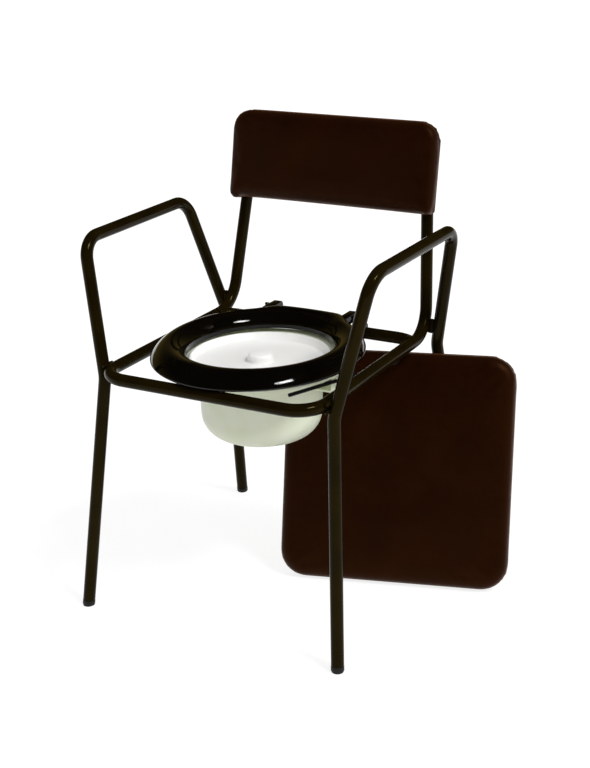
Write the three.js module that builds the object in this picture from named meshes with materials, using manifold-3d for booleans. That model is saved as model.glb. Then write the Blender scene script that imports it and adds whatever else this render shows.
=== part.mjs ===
// A commode chair: a bent steel tube frame with a padded backrest, a hinged toilet seat over a lidded
// pan, and a lift-off seat cushion that stands on the floor, leaning on the right rear leg.
// Millimetres, +Z up, the chair faces -Y, and its right-hand side as drawn is +X.

import * as THREE from "three";
import { mergeVertices } from "three/addons/utils/BufferGeometryUtils.js";
import Module from "manifold-3d";

const wasm = await Module();
wasm.setup();

// Driving dimensions of the frame
const tubeDiameter = 22.2;
const tubeWall = 1.5;
const contactGap = 0.3;
const cutOverrun = 2;
const seatRailHeight = 436.6;
const seatRailX = 202.5;
const frontRailY = -243;
const frontCornerRadius = 50;
const footX = 250;
const frontFootY = -259.5;
const rearFootY = 280;
const kinkDrop = 18.6;
const frontKinkY = -201.6;
const rearKinkY = 201.6;
const kinkRadius = 60;
const weldCloseUp = 0.9;
const armLeanDegrees = 12.3;
const armHeight = 647;
const frontArmY = -166;
const rearArmY = 150.5;
const armBendRadius = 42;
const uprightBaseY = 193.8;
const uprightLeanShare = 0.192;
const uprightBendRadius = 62;
const uprightTopHeight = 785;
const uprightTopX = 174;
const rearRailY = 150;
const rearRailStraightX = 186;
const rearRailSweep = 19;
const rearRailBendRadius = 60;
const bendStepDegrees = 15;
const tubeSides = 14;

// Leg glides and upright plugs
const glideHeight = 10;
const glideStem = 22;
const plugFlange = 2.5;
const plugDome = 3.5;
const plugStem = 16;

// Pan rods
const rodDiameter = 6.4;
const rodFreeX = 111.4;
const rodFreeY = -151.8;
const rodWeldY = 63;
const rodOverhang = 4;
const rodSides = 10;

// Backrest, in its own frame at the top of the uprights: X across, Y back, Z up the slope
const backWidth = 411;
const backHeight = 161;
const backRise = 18.6;
const backBoard = 9;
const backFoam = 21;
const backCrown = 5;
const backTopRadius = 36;
const backBottomRadius = 9;
const backEdgeRoll = 13;

// Upholstery that the backrest and the cushion share
const coverThickness = 1.2;
const coverWrap = 14;
const boardInset = 3;
const waist = 1.6;
const cornerSteps = 5;
const tightCornerShare = 0.25;
const rollDepthShares = [0.38, 0.71, 0.92, 1];
const rollInsetShares = [0.08, 0.29, 0.62, 1];
const crownInsetShares = [0.2, 0.45, 0.72];

// Screws
const screwShank = 4.8;
const screwHead = 10;
const screwHeadHeight = 3;
const screwBite = 6;
const backScrewDrops = [20.4, 110.4];
const screwSides = 12;

// Toilet seat and hinge
const hingeRise = 28.9;
const hingeY = rearRailY;
const seatHalfWidth = 180.5;
const seatCentreY = -53.5;
const seatFrontReach = 201.5;
const seatRearReach = 206;
const openingHalfWidth = 127;
const openingCentreY = -56;
const openingReach = 141;
const seatThickness = 27;
const seatLift = 1.9;
const seatSteps = 48;
const lugInnerX = 70;
const lugWidth = 16;
const knuckleRadius = 9;
const lugReach = 30;
const lugRootShares = [0.3, 0.78];
const lugArcSteps = 8;
const pinDiameter = 6;
const pinEndX = 104;
const hingeBlockLength = 17;
const hingeBlockDepth = 20;
const hingeBlockFlat = 5;
const hingeBlockCap = 4.5;
const hingeBlockLip = 2;
const hingeGap = 0.8;
const hingeScrewInset = 9;
const bufferDiameter = 14;
const bufferHeight = 6;
const bufferX = 40;
const bufferInset = 3;

// Pan and lid
const panCentreY = -51;
const panRadius = 108;
const panWall = 3;
const panDepth = 142.5;
const panCornerRadius = 52;
const panRimRadius = 137;
const panRimDrop = 8.6;
const panFlare = 10;
const panLedgeDrop = 6;
const earFrontY = -60;
const earRearY = -26;
const earLipX = 161;
const earWallX = 146.5;
const earDraft = 3;
const earDepth = 26.5;
const earSheet = 3.6;
const lidRadius = 118.5;
const lidSheet = 2.4;
const lidWellRadius = 104;
const lidWellDepth = 12;
const knobRadius = 21.5;
const knobHeight = 15;
const knobCrownShare = 0.85;
const roundSteps = 40;
const bowlCornerSteps = 5;

// Cushion, in its own frame: X across, Y back, Z up its face
const cushionOverhang = 3.5;
const cushionRearRoom = 20.8;
const cushionBoard = 9;
const cushionFoam = 22;
const cushionCrown = 7;
const cushionCornerRadius = 46;
const cushionEdgeRoll = 16;
const cushionFootX = 0.5;
const cushionFootY = 4.5;
const cushionHeadingDegrees = 16.55;
const battenWidth = 6;
const battenDepth = 24;
const battenLength = 230;

const vinylBrown = new THREE.MeshStandardMaterial({ color: 0x2a1109, roughness: 0.45, metalness: 0 });
const enamelBrown = new THREE.MeshStandardMaterial({ color: 0x2b2410, roughness: 0.25, metalness: 0.1 });
const glossBlack = new THREE.MeshStandardMaterial({ color: 0x060606, roughness: 0.12, metalness: 0 });
const rodBlack = new THREE.MeshStandardMaterial({ color: 0x0a0908, roughness: 0.4, metalness: 0.2 });
const rubberBlack = new THREE.MeshStandardMaterial({ color: 0x0d0d0c, roughness: 0.8, metalness: 0 });
const panWhite = new THREE.MeshStandardMaterial({ color: 0xc9d3bf, roughness: 0.35, metalness: 0 });
const lidWhite = new THREE.MeshStandardMaterial({ color: 0xeeefec, roughness: 0.35, metalness: 0 });
const steelPlain = new THREE.MeshStandardMaterial({ color: 0x9a9a98, roughness: 0.35, metalness: 0.9 });
const plywood = new THREE.MeshStandardMaterial({ color: 0xa98355, roughness: 0.8, metalness: 0 });
const foamYellow = new THREE.MeshStandardMaterial({ color: 0xd9c98c, roughness: 0.95, metalness: 0 });
const beech = new THREE.MeshStandardMaterial({ color: 0x9c7445, roughness: 0.7, metalness: 0 });

const tubeRadius = tubeDiameter / 2;
const boreRadius = tubeRadius - tubeWall;
const rodRadius = rodDiameter / 2;
const railUnderside = seatRailHeight - tubeRadius;
const railTop = seatRailHeight + tubeRadius;

// The toilet seat lies just over the seat rails, its hinge stands on the rear rail, and the pan hangs below.
const hingeHeight = seatRailHeight + hingeRise;
const seatUnderside = railTop + seatLift;
const panRimTop = seatUnderside - panRimDrop;
const panBottom = panRimTop - panDepth;

// A closed geometry as a solid for joining and cutting.
function solidOf(geometry) {
  const plain = geometry.clone();
  plain.deleteAttribute("normal");
  plain.deleteAttribute("uv");
  const merged = mergeVertices(plain);
  const mesh = new wasm.Mesh({
    numProp: 3,
    vertProperties: merged.attributes.position.array,
    triVerts: new Uint32Array(merged.index.array),
  });
  return new wasm.Manifold(mesh);
}

function geometryOf(solid) {
  const mesh = solid.getMesh();
  const geometry = new THREE.BufferGeometry();
  geometry.setAttribute("position", new THREE.BufferAttribute(mesh.vertProperties, mesh.numProp));
  geometry.setIndex(new THREE.BufferAttribute(mesh.triVerts, 1));
  return geometry.toNonIndexed();
}

function cut(geometry, tools) {
  const left = tools.reduce((solid, tool) => solid.subtract(solidOf(tool)), solidOf(geometry));
  return geometryOf(left);
}

function join(pieces) {
  return geometryOf(pieces.map(solidOf).reduce((whole, piece) => whole.add(piece)));
}

function moved(geometry, matrix) {
  return geometry.clone().applyMatrix4(matrix);
}

function named(name, geometry, material) {
  geometry.computeVertexNormals();
  const mesh = new THREE.Mesh(geometry, material);
  mesh.name = name;
  return mesh;
}

function sideName(side) {
  return side < 0 ? "left" : "right";
}

// A centre line of straight runs joined by arcs. Its stations stand at the run ends and along the arcs,
// so a tube swept on it has no rings to spare on the straight runs.
class BentLine extends THREE.Curve {
  constructor(corners, radii) {
    super();
    this.stations = [];
    const last = corners.length - 1;
    const directions = corners.slice(1).map((corner, i) => corner.clone().sub(corners[i]).normalize());
    this.addStation(corners[0], directions[0]);
    for (let i = 1; i < last; i++) this.addBend(corners[i], directions[i - 1], directions[i], radii[i - 1]);
    this.addStation(corners[last], directions[last - 1]);
  }

  addStation(point, tangent) {
    this.stations.push({ point: point.clone(), tangent: tangent.clone() });
  }

  addBend(corner, into, out, radius) {
    const turn = into.angleTo(out);
    const axis = new THREE.Vector3().crossVectors(into, out).normalize();
    const toCentre = new THREE.Vector3().crossVectors(axis, into);
    const start = corner.clone().addScaledVector(into, -radius * Math.tan(turn / 2));
    const centre = start.clone().addScaledVector(toCentre, radius);
    const steps = Math.max(2, Math.ceil(THREE.MathUtils.radToDeg(turn) / bendStepDegrees));
    for (let i = 0; i <= steps; i++) {
      const angle = (turn * i) / steps;
      const arm = start.clone().sub(centre).applyAxisAngle(axis, angle);
      this.addStation(arm.add(centre), into.clone().applyAxisAngle(axis, angle));
    }
  }

  get steps() {
    return this.stations.length - 1;
  }

  stationAt(share) {
    return this.stations[Math.round(share * this.steps)];
  }

  getPoint(share) {
    return this.stationAt(share).point.clone();
  }

  getPointAt(share) {
    return this.getPoint(share);
  }

  getTangentAt(share) {
    return this.stationAt(share).tangent.clone();
  }
}

function discShape(radius, boreShapeRadius) {
  const shape = new THREE.Shape();
  shape.absarc(0, 0, radius, 0, 2 * Math.PI);
  if (boreShapeRadius > 0) {
    const bore = new THREE.Path();
    bore.absarc(0, 0, boreShapeRadius, 0, 2 * Math.PI, true);
    shape.holes.push(bore);
  }
  return shape;
}

function sweep(line, radius, bore, sides) {
  const options = { steps: line.steps, extrudePath: line, curveSegments: sides / 2, bevelEnabled: false };
  return new THREE.ExtrudeGeometry(discShape(radius, bore), options);
}

// A solid bar between two points, for rods, drilled holes and clearances.
function bar(from, to, radius, sides) {
  return sweep(new BentLine([from, to], []), radius, 0, sides);
}

// The turned profile, given as [radius, height] pairs, round the Z axis.
function turned(profile, steps) {
  const points = profile.map(([radius, height]) => new THREE.Vector2(radius, height));
  return new THREE.LatheGeometry(points, steps).rotateX(Math.PI / 2);
}

// The arm's outward lean places the kink where the leg just touches the side rail. Facets and the rounded
// kink would leave the two tubes apart by a little more, so they close up by that much.
const armLean = THREE.MathUtils.degToRad(armLeanDegrees);
const kinkHeight = seatRailHeight - kinkDrop;
const kinkX =
  seatRailX + (tubeDiameter + contactGap - weldCloseUp - kinkDrop * Math.sin(armLean)) / Math.cos(armLean);
const armX = kinkX + (armHeight - kinkHeight) * Math.tan(armLean);

function sideFrameLine(side) {
  const corners = [
    [footX, frontFootY, 0],
    [kinkX, frontKinkY, kinkHeight],
    [armX, frontArmY, armHeight],
    [armX, rearArmY, armHeight],
    [kinkX, rearKinkY, kinkHeight],
    [footX, rearFootY, 0],
  ].map(([x, y, z]) => new THREE.Vector3(side * x, y, z));
  const radii = [kinkRadius, armBendRadius, armBendRadius, kinkRadius];
  return trimmedEnds(corners, radii, glideHeight);
}

// Both ends of the centre line drawn back by one length, to leave room for the end fittings.
function trimmedEnds(corners, radii, length) {
  const last = corners.length - 1;
  const first = corners[1].clone().sub(corners[0]).setLength(length).add(corners[0]);
  const end = corners[last - 1].clone().sub(corners[last]).setLength(length).add(corners[last]);
  return new BentLine([first, ...corners.slice(1, last), end], radii);
}

function uprightTop(side) {
  const y = uprightBaseY + (uprightTopHeight - seatRailHeight) * uprightLeanShare;
  return new THREE.Vector3(side * uprightTopX, y, uprightTopHeight);
}

function uprightBase(side) {
  return new THREE.Vector3(side * seatRailX, uprightBaseY, seatRailHeight);
}

function seatBackLine() {
  const corners = [
    uprightTop(-1),
    uprightBase(-1),
    new THREE.Vector3(-seatRailX, frontRailY, seatRailHeight),
    new THREE.Vector3(seatRailX, frontRailY, seatRailHeight),
    uprightBase(1),
    uprightTop(1),
  ];
  const radii = [uprightBendRadius, frontCornerRadius, frontCornerRadius, uprightBendRadius];
  return new BentLine(corners, radii);
}

function rearRailLine() {
  const endX = rearRailStraightX + tubeDiameter;
  const corners = [
    [-endX, rearRailY - rearRailSweep],
    [-rearRailStraightX, rearRailY],
    [rearRailStraightX, rearRailY],
    [endX, rearRailY - rearRailSweep],
  ].map(([x, y]) => new THREE.Vector3(x, y, seatRailHeight));
  return new BentLine(corners, [rearRailBendRadius, rearRailBendRadius]);
}

function sideFrame(side) {
  const tube = sweep(sideFrameLine(side), tubeRadius, boreRadius, tubeSides);
  return named("side_frame_" + sideName(side), tube, enamelBrown);
}

function seatBackTube() {
  const tube = sweep(seatBackLine(), tubeRadius, boreRadius, tubeSides);
  const holes = backScrewPlaces().map((place) => backScrewHole(place));
  return named("seat_back_tube", cut(tube, holes), enamelBrown);
}

// The rear rail ends against the side rails, saddle-cut to their outline.
function rearRail() {
  const tube = sweep(rearRailLine(), tubeRadius, boreRadius, tubeSides);
  const sideRails = sweep(seatBackLine(), tubeRadius + contactGap, 0, tubeSides);
  const holes = [-1, 1].map((side) => hingeScrewHole(side));
  const trimmed = solidOf(tube).subtract(solidOf(sideRails)).decompose();
  const longest = trimmed.reduce((a, b) => (a.volume() > b.volume() ? a : b));
  return named("rear_rail", cut(geometryOf(longest), holes), enamelBrown);
}

// A plug turned along the leg, its stem in the tube's bore, cut level where it meets the floor.
function glide(side, footY, kinkY, end) {
  const foot = new THREE.Vector3(side * footX, footY, 0);
  const up = new THREE.Vector3(side * kinkX, kinkY, kinkHeight).sub(foot).normalize();
  const head = glideHeight - contactGap;
  const stem = boreRadius - contactGap;
  const profile = [
    [0, -glideHeight],
    [tubeRadius, -glideHeight],
    [tubeRadius, head],
    [stem, head],
    [stem, head + glideStem],
    [0, head + glideStem],
  ];
  const turn = new THREE.Quaternion().setFromUnitVectors(new THREE.Vector3(0, 0, 1), up);
  const place = new THREE.Matrix4().compose(foot, turn, new THREE.Vector3(1, 1, 1));
  const plug = moved(turned(profile, tubeSides), place);
  const floorCut = new THREE.BoxGeometry(4 * tubeRadius, 4 * tubeRadius, 4 * tubeRadius);
  floorCut.translate(foot.x, foot.y, -2 * tubeRadius);
  return named("glide_" + end + "_" + sideName(side), cut(plug, [floorCut]), rubberBlack);
}

function uprightPlug(side) {
  const top = uprightTop(side);
  const up = top.clone().sub(uprightBase(side)).normalize();
  const stem = boreRadius - contactGap;
  const profile = [
    [0, -plugStem],
    [stem, -plugStem],
    [stem, contactGap],
    [tubeRadius, contactGap],
    [tubeRadius, plugFlange],
    [tubeRadius / 2, plugFlange + plugDome],
    [0, plugFlange + plugDome],
  ];
  const turn = new THREE.Quaternion().setFromUnitVectors(new THREE.Vector3(0, 0, 1), up);
  const place = new THREE.Matrix4().compose(top, turn, new THREE.Vector3(1, 1, 1));
  return named("upright_plug_" + sideName(side), moved(turned(profile, tubeSides), place), rubberBlack);
}

// The rods lie just under the side rails, and their free ends reach forward and in below the pan's ears.
const rodHeight = railUnderside - contactGap - rodRadius;

function panRod(side) {
  const free = new THREE.Vector3(side * rodFreeX, rodFreeY, rodHeight);
  const weld = new THREE.Vector3(side * seatRailX, rodWeldY, rodHeight);
  const past = weld.clone().sub(free).setLength(rodOverhang).add(weld);
  return named("pan_rod_" + sideName(side), bar(free, past, rodRadius, rodSides), rodBlack);
}

// Padded panels. A panel's outline is a rectangle with its own radius at each corner, drawn in the XZ
// plane round its centre, and drawn in by an inset.
function panelOutline(width, height, topRadius, bottomRadius, inset) {
  const halfWidth = width / 2 - inset;
  const halfHeight = height / 2 - inset;
  const corners = [
    [1, 1, topRadius, 0],
    [-1, 1, topRadius, 1],
    [-1, -1, bottomRadius, 2],
    [1, -1, bottomRadius, 3],
  ];
  const points = [];
  for (const [signX, signZ, radius, quarter] of corners) {
    const round = Math.max(radius - inset, radius * tightCornerShare);
    for (let i = 0; i <= cornerSteps; i++) {
      const angle = (quarter + i / cornerSteps) * (Math.PI / 2);
      const x = signX * (halfWidth - round) + round * Math.cos(angle);
      const z = signZ * (halfHeight - round) + round * Math.sin(angle);
      points.push([x, z]);
    }
  }
  return points;
}

// Rings of one count, closed at both ends by a point in the middle, or left to meet as a loop.
function loft(rings, startPoint, endPoint) {
  const count = rings[0].length;
  const positions = rings.flat(2);
  const index = [];
  for (let r = 0; r + 1 < rings.length; r++) {
    for (let i = 0; i < count; i++) {
      const a = r * count + i;
      const b = r * count + ((i + 1) % count);
      index.push(a, b, b + count, a, b + count, a + count);
    }
  }
  const startIndex = positions.length / 3;
  positions.push(...startPoint, ...endPoint);
  const lastRing = (rings.length - 1) * count;
  for (let i = 0; i < count; i++) {
    const next = (i + 1) % count;
    index.push(startIndex, next, i);
    index.push(startIndex + 1, lastRing + i, lastRing + next);
  }
  const geometry = new THREE.BufferGeometry();
  geometry.setAttribute("position", new THREE.Float32BufferAttribute(positions, 3));
  geometry.setIndex(index);
  return facingOut(geometry.toNonIndexed());
}

function facingOut(geometry) {
  const solid = solidOf(geometry);
  if (solid.volume() > 0) return geometry;
  const position = geometry.getAttribute("position");
  const flipped = new Float32Array(position.array);
  for (let i = 0; i < flipped.length; i += 9) {
    for (let k = 0; k < 3; k++) {
      [flipped[i + 3 + k], flipped[i + 6 + k]] = [flipped[i + 6 + k], flipped[i + 3 + k]];
    }
  }
  geometry.setAttribute("position", new THREE.BufferAttribute(flipped, 3));
  return geometry;
}

// The stages of a pad's face from its side to its middle, as [inset, depth in front of the board's back].
// The side is drawn in at its waist, the edge rolls over on an ellipse, and the face swells to its crown.
function padStages(pad, skin) {
  const side = pad.board + pad.foam - pad.roll;
  const stages = [
    [skin, 0],
    [skin + waist, side / 2],
    [skin, side],
  ];
  rollDepthShares.forEach((share, i) => {
    stages.push([skin + pad.roll * rollInsetShares[i], side + (pad.roll - skin) * share]);
  });
  const faceDepth = side + pad.roll - skin;
  const reach = Math.min(pad.width, pad.height) / 2 - skin - pad.roll;
  for (const share of crownInsetShares) {
    stages.push([skin + pad.roll + reach * share, faceDepth + pad.crown * (1 - (1 - share) ** 2)]);
  }
  return stages;
}

function padRing(pad, inset, depth) {
  const outline = panelOutline(pad.width, pad.height, pad.topRadius, pad.bottomRadius, inset);
  return outline.map(([x, z]) => [x, -depth, z]);
}

function padMiddle(pad, skin) {
  return [0, -(pad.board + pad.foam - skin + pad.crown), 0];
}

// The cover is a skin over the face and sides, turned in behind the board and open at the back.
function padCover(pad) {
  const behind = contactGap + coverThickness;
  const outside = padStages(pad, 0).reverse();
  const inside = padStages(pad, coverThickness);
  const rings = [
    ...outside.map(([inset, depth]) => padRing(pad, inset, depth)),
    padRing(pad, 0, -behind),
    padRing(pad, coverWrap, -behind),
    padRing(pad, coverWrap, -contactGap),
    padRing(pad, coverThickness, -contactGap),
    ...inside.map(([inset, depth]) => padRing(pad, inset, depth)),
  ];
  return loft(rings, padMiddle(pad, 0), padMiddle(pad, coverThickness));
}

function padFoam(pad) {
  const skin = coverThickness + contactGap;
  const back = pad.board + contactGap;
  const stages = padStages(pad, skin).filter(([, depth]) => depth > back + contactGap);
  const first = padRing(pad, skin + waist, back);
  const rings = [first, ...stages.map(([inset, depth]) => padRing(pad, inset, depth))];
  return loft(rings, [0, -back, 0], padMiddle(pad, skin));
}

function padBoard(pad) {
  const inset = boardInset + waist;
  const outline = panelOutline(pad.width, pad.height, pad.topRadius, pad.bottomRadius, inset);
  const shape = new THREE.Shape(outline.map(([x, z]) => new THREE.Vector2(x, z)));
  const board = new THREE.ExtrudeGeometry(shape, { depth: pad.board, bevelEnabled: false });
  return board.rotateX(Math.PI / 2);
}

const backPad = {
  width: backWidth,
  height: backHeight,
  board: backBoard,
  foam: backFoam,
  roll: backEdgeRoll,
  crown: backCrown,
  topRadius: backTopRadius,
  bottomRadius: backBottomRadius,
};

// On the chair the cushion reaches over both side rails, and from the front rail back to the uprights.
const cushionWidth = 2 * (seatRailX + cushionOverhang);
const cushionHeight = uprightBaseY - frontRailY - cushionRearRoom;

const cushionPad = {
  width: cushionWidth,
  height: cushionHeight,
  board: cushionBoard,
  foam: cushionFoam,
  roll: cushionEdgeRoll,
  crown: cushionCrown,
  topRadius: cushionCornerRadius,
  bottomRadius: cushionCornerRadius,
};

// The backrest lies against the front of the uprights and leans back with them.
const backLean = Math.atan(uprightLeanShare);
const backStandOff = tubeRadius + 2 * contactGap + coverThickness;
const backMiddleDrop = backHeight / 2 - backRise;

function backMatrix() {
  const top = uprightTop(1);
  const turn = new THREE.Matrix4().makeRotationX(-backLean);
  const place = new THREE.Matrix4().makeTranslation(0, top.y, top.z);
  const offset = new THREE.Matrix4().makeTranslation(0, -backStandOff, -backMiddleDrop);
  return place.multiply(turn).multiply(offset);
}

// Where the back screws go, as points on the upright's axis written in the backrest's frame.
function backScrewPlaces() {
  const places = [];
  for (const side of [-1, 1]) {
    for (const drop of backScrewDrops) {
      const share = (drop * Math.cos(backLean)) / (uprightTopHeight - seatRailHeight);
      const x = side * (uprightTopX + (seatRailX - uprightTopX) * share);
      places.push({ x, up: backMiddleDrop - drop });
    }
  }
  return places;
}

function alongBack(place, from, to, radius) {
  const start = new THREE.Vector3(place.x, from, place.up);
  const end = new THREE.Vector3(place.x, to, place.up);
  return bar(start, end, radius, screwSides);
}

const backTubeRear = backStandOff + tubeRadius;

function backScrewHole(place) {
  const radius = screwShank / 2 + contactGap;
  return moved(alongBack(place, -backBoard, backTubeRear + cutOverrun, radius), backMatrix());
}

function backScrew(place, number) {
  const tip = -screwBite;
  const seat = backTubeRear + contactGap;
  const shank = alongBack(place, tip, seat + screwHeadHeight / 2, screwShank / 2);
  const head = alongBack(place, seat, seat + screwHeadHeight, screwHead / 2);
  const screw = moved(join([shank, head]), backMatrix());
  return named("backrest_screw_" + number, screw, steelPlain);
}

function backrest() {
  const matrix = backMatrix();
  const pilots = backScrewPlaces().map((place) => {
    return alongBack(place, -screwBite - contactGap, cutOverrun, screwShank / 2 + contactGap);
  });
  const group = new THREE.Group();
  group.add(named("backrest_board", moved(cut(padBoard(backPad), pilots), matrix), plywood));
  group.add(named("backrest_foam", moved(padFoam(backPad), matrix), foamYellow));
  group.add(named("backrest_cover", moved(cut(padCover(backPad), pilots), matrix), vinylBrown));
  backScrewPlaces().forEach((place, i) => group.add(backScrew(place, i + 1)));
  return group;
}

// The toilet seat: sections set round the opening, each from the inner outline to the outer one.
function seatPlan(angle) {
  const cos = Math.cos(angle);
  const sin = Math.sin(angle);
  const reach = sin < 0 ? seatFrontReach : seatRearReach;
  return {
    inner: [openingHalfWidth * cos, openingCentreY + openingReach * sin],
    outer: [seatHalfWidth * cos, seatCentreY + reach * sin],
  };
}

// The ring's section as shares of its width, from the opening outwards, and of its thickness, upwards.
const seatSectionShares = [
  [0.04, 0.0],
  [0.0, 0.12],
  [0.0, 0.4],
  [0.06, 0.72],
  [0.2, 0.93],
  [0.38, 1.0],
  [0.56, 0.96],
  [0.76, 0.8],
  [0.91, 0.57],
  [0.98, 0.34],
  [1.0, 0.15],
  [0.95, 0.0],
];

function seatRing() {
  const count = seatSectionShares.length;
  const positions = [];
  const index = [];
  for (let s = 0; s < seatSteps; s++) {
    const { inner, outer } = seatPlan((2 * Math.PI * s) / seatSteps);
    for (const [across, up] of seatSectionShares) {
      const x = inner[0] + (outer[0] - inner[0]) * across;
      const y = inner[1] + (outer[1] - inner[1]) * across;
      positions.push(x, y, seatUnderside + seatThickness * up);
    }
    for (let i = 0; i < count; i++) {
      const a = s * count + i;
      const b = s * count + ((i + 1) % count);
      const wrap = ((s + 1) % seatSteps) * count;
      const c = wrap + i;
      const d = wrap + ((i + 1) % count);
      index.push(a, c, b, b, c, d);
    }
  }
  const geometry = new THREE.BufferGeometry();
  geometry.setAttribute("position", new THREE.Float32BufferAttribute(positions, 3));
  geometry.setIndex(index);
  return facingOut(geometry.toNonIndexed());
}

// A lug runs forward from its knuckle into the ring. Its outline lies in the YZ plane.
function seatLug(side) {
  const [low, high] = lugRootShares.map((share) => seatUnderside + seatThickness * share);
  const shape = new THREE.Shape();
  shape.moveTo(hingeY - lugReach, low);
  shape.lineTo(hingeY, hingeHeight - knuckleRadius);
  shape.absarc(hingeY, hingeHeight, knuckleRadius, -Math.PI / 2, Math.PI / 2);
  shape.lineTo(hingeY - lugReach, high);
  shape.closePath();
  const options = { depth: lugWidth, bevelEnabled: false, curveSegments: lugArcSteps };
  const lug = new THREE.ExtrudeGeometry(shape, options);
  lug.applyMatrix4(new THREE.Matrix4().makeBasis(
    new THREE.Vector3(0, 1, 0), new THREE.Vector3(0, 0, 1), new THREE.Vector3(1, 0, 0)));
  const x = side < 0 ? -lugInnerX - lugWidth : lugInnerX;
  return lug.translate(x, 0, 0);
}

function hingeBar(side, fromX, toX, radius) {
  const from = new THREE.Vector3(side * fromX, hingeY, hingeHeight);
  const to = new THREE.Vector3(side * toX, hingeY, hingeHeight);
  return side < 0 ? bar(to, from, radius, screwSides) : bar(from, to, radius, screwSides);
}

// The buffers stand in recesses of the ring's underside, over the top of the front rail.
const bufferBottom = railTop + contactGap;

function bufferDisc(side, radius, from, to) {
  const x = side * bufferX;
  const y = frontRailY + bufferInset;
  return bar(new THREE.Vector3(x, y, from), new THREE.Vector3(x, y, to), radius, tubeSides);
}

function toiletSeat() {
  const ring = join([seatRing(), seatLug(-1), seatLug(1)]);
  const tools = [];
  for (const side of [-1, 1]) {
    const innerX = lugInnerX - cutOverrun;
    const outerX = lugInnerX + lugWidth + cutOverrun;
    tools.push(hingeBar(side, innerX, outerX, pinDiameter / 2 + contactGap));
    const recess = bufferDiameter / 2 + contactGap;
    const depth = bufferBottom + bufferHeight + contactGap;
    tools.push(bufferDisc(side, recess, seatUnderside - cutOverrun, depth));
  }
  return named("toilet_seat", cut(ring, tools), glossBlack);
}

function seatBuffer(side) {
  const disc = bufferDisc(side, bufferDiameter / 2, bufferBottom, bufferBottom + bufferHeight);
  return named("seat_buffer_" + sideName(side), disc, rubberBlack);
}

// A saddle on the rear rail. Its top slopes down and away from the lug that it stands beside.
function hingeBlock(side) {
  const inner = lugInnerX + lugWidth + hingeGap;
  const top = hingeHeight + hingeBlockCap;
  const low = railTop + hingeBlockLip;
  const foot = seatRailHeight;
  const shape = new THREE.Shape();
  shape.moveTo(inner, foot);
  shape.lineTo(inner + hingeBlockLength, foot);
  shape.lineTo(inner + hingeBlockLength, low);
  shape.lineTo(inner + hingeBlockFlat, top);
  shape.lineTo(inner, top);
  shape.closePath();
  const block = new THREE.ExtrudeGeometry(shape, { depth: hingeBlockDepth, bevelEnabled: false });
  block.rotateX(Math.PI / 2).translate(0, hingeY + hingeBlockDepth / 2, 0);
  const sided = side < 0 ? facingOut(moved(block, new THREE.Matrix4().makeScale(-1, 1, 1))) : block;
  const bore = hingeBar(side, inner - cutOverrun, inner + hingeBlockLength, pinDiameter / 2 + contactGap);
  const rail = sweep(rearRailLine(), tubeRadius + contactGap, 0, tubeSides);
  const pilot = hingeScrewBar(side, railTop + screwBite + contactGap, screwShank / 2 + contactGap);
  const body = cut(sided, [rail, bore, pilot]);
  return named("hinge_block_" + sideName(side), body, glossBlack);
}

function hingePin(side) {
  const from = lugInnerX - hingeGap;
  return named("hinge_pin_" + sideName(side), hingeBar(side, from, pinEndX, pinDiameter / 2), steelPlain);
}

function hingeScrewX() {
  return lugInnerX + lugWidth + hingeGap + hingeScrewInset;
}

// A vertical bar at the hinge screw, from below the rail up to the given height.
function hingeScrewBar(side, top, radius) {
  const x = side * hingeScrewX();
  const from = new THREE.Vector3(x, hingeY, railUnderside - cutOverrun);
  return bar(from, new THREE.Vector3(x, hingeY, top), radius, screwSides);
}

function hingeScrewHole(side) {
  return hingeScrewBar(side, railTop + cutOverrun, screwShank / 2 + contactGap);
}

function hingeScrew(side) {
  const x = side * hingeScrewX();
  const seat = railUnderside - contactGap;
  const head = bar(
    new THREE.Vector3(x, hingeY, seat - screwHeadHeight),
    new THREE.Vector3(x, hingeY, seat), screwHead / 2, screwSides);
  const shank = bar(
    new THREE.Vector3(x, hingeY, seat - screwHeadHeight / 2),
    new THREE.Vector3(x, hingeY, railTop + screwBite), screwShank / 2, screwSides);
  return named("hinge_screw_" + sideName(side), join([head, shank]), steelPlain);
}

// The pan: a deep bowl with a ledge for the lid inside its rim, and an ear on each side.
function panProfile() {
  const outside = [];
  const inside = [];
  const innerCorner = panCornerRadius - panWall;
  const centreR = panRadius - panCornerRadius;
  const centreZ = panBottom + panCornerRadius;
  for (let i = 0; i <= bowlCornerSteps; i++) {
    const angle = ((Math.PI / 2) * i) / bowlCornerSteps;
    const out = Math.sin(angle);
    const down = Math.cos(angle);
    outside.push([centreR + panCornerRadius * out, centreZ - panCornerRadius * down]);
    inside.unshift([centreR + innerCorner * out, centreZ - innerCorner * down]);
  }
  const ledgeTop = panRimTop - panLedgeDrop;
  const mouth = lidRadius + 2 * contactGap;
  return [
    [0, panBottom],
    ...outside,
    [panRadius, ledgeTop - panFlare],
    [mouth + panWall, ledgeTop],
    [mouth + panWall, panRimTop - panWall],
    [panRimRadius - panWall, panRimTop - panWall],
    [panRimRadius - panWall, panRimTop - 2 * panWall],
    [panRimRadius, panRimTop - 2 * panWall],
    [panRimRadius, panRimTop],
    [mouth, panRimTop],
    [mouth, ledgeTop + contactGap],
    [panRadius - panWall, ledgeTop + contactGap],
    ...inside,
    [0, panBottom + panWall],
  ];
}

const earLip = rodHeight + rodRadius + contactGap;
const earFloor = earLip - earDepth;

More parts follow.
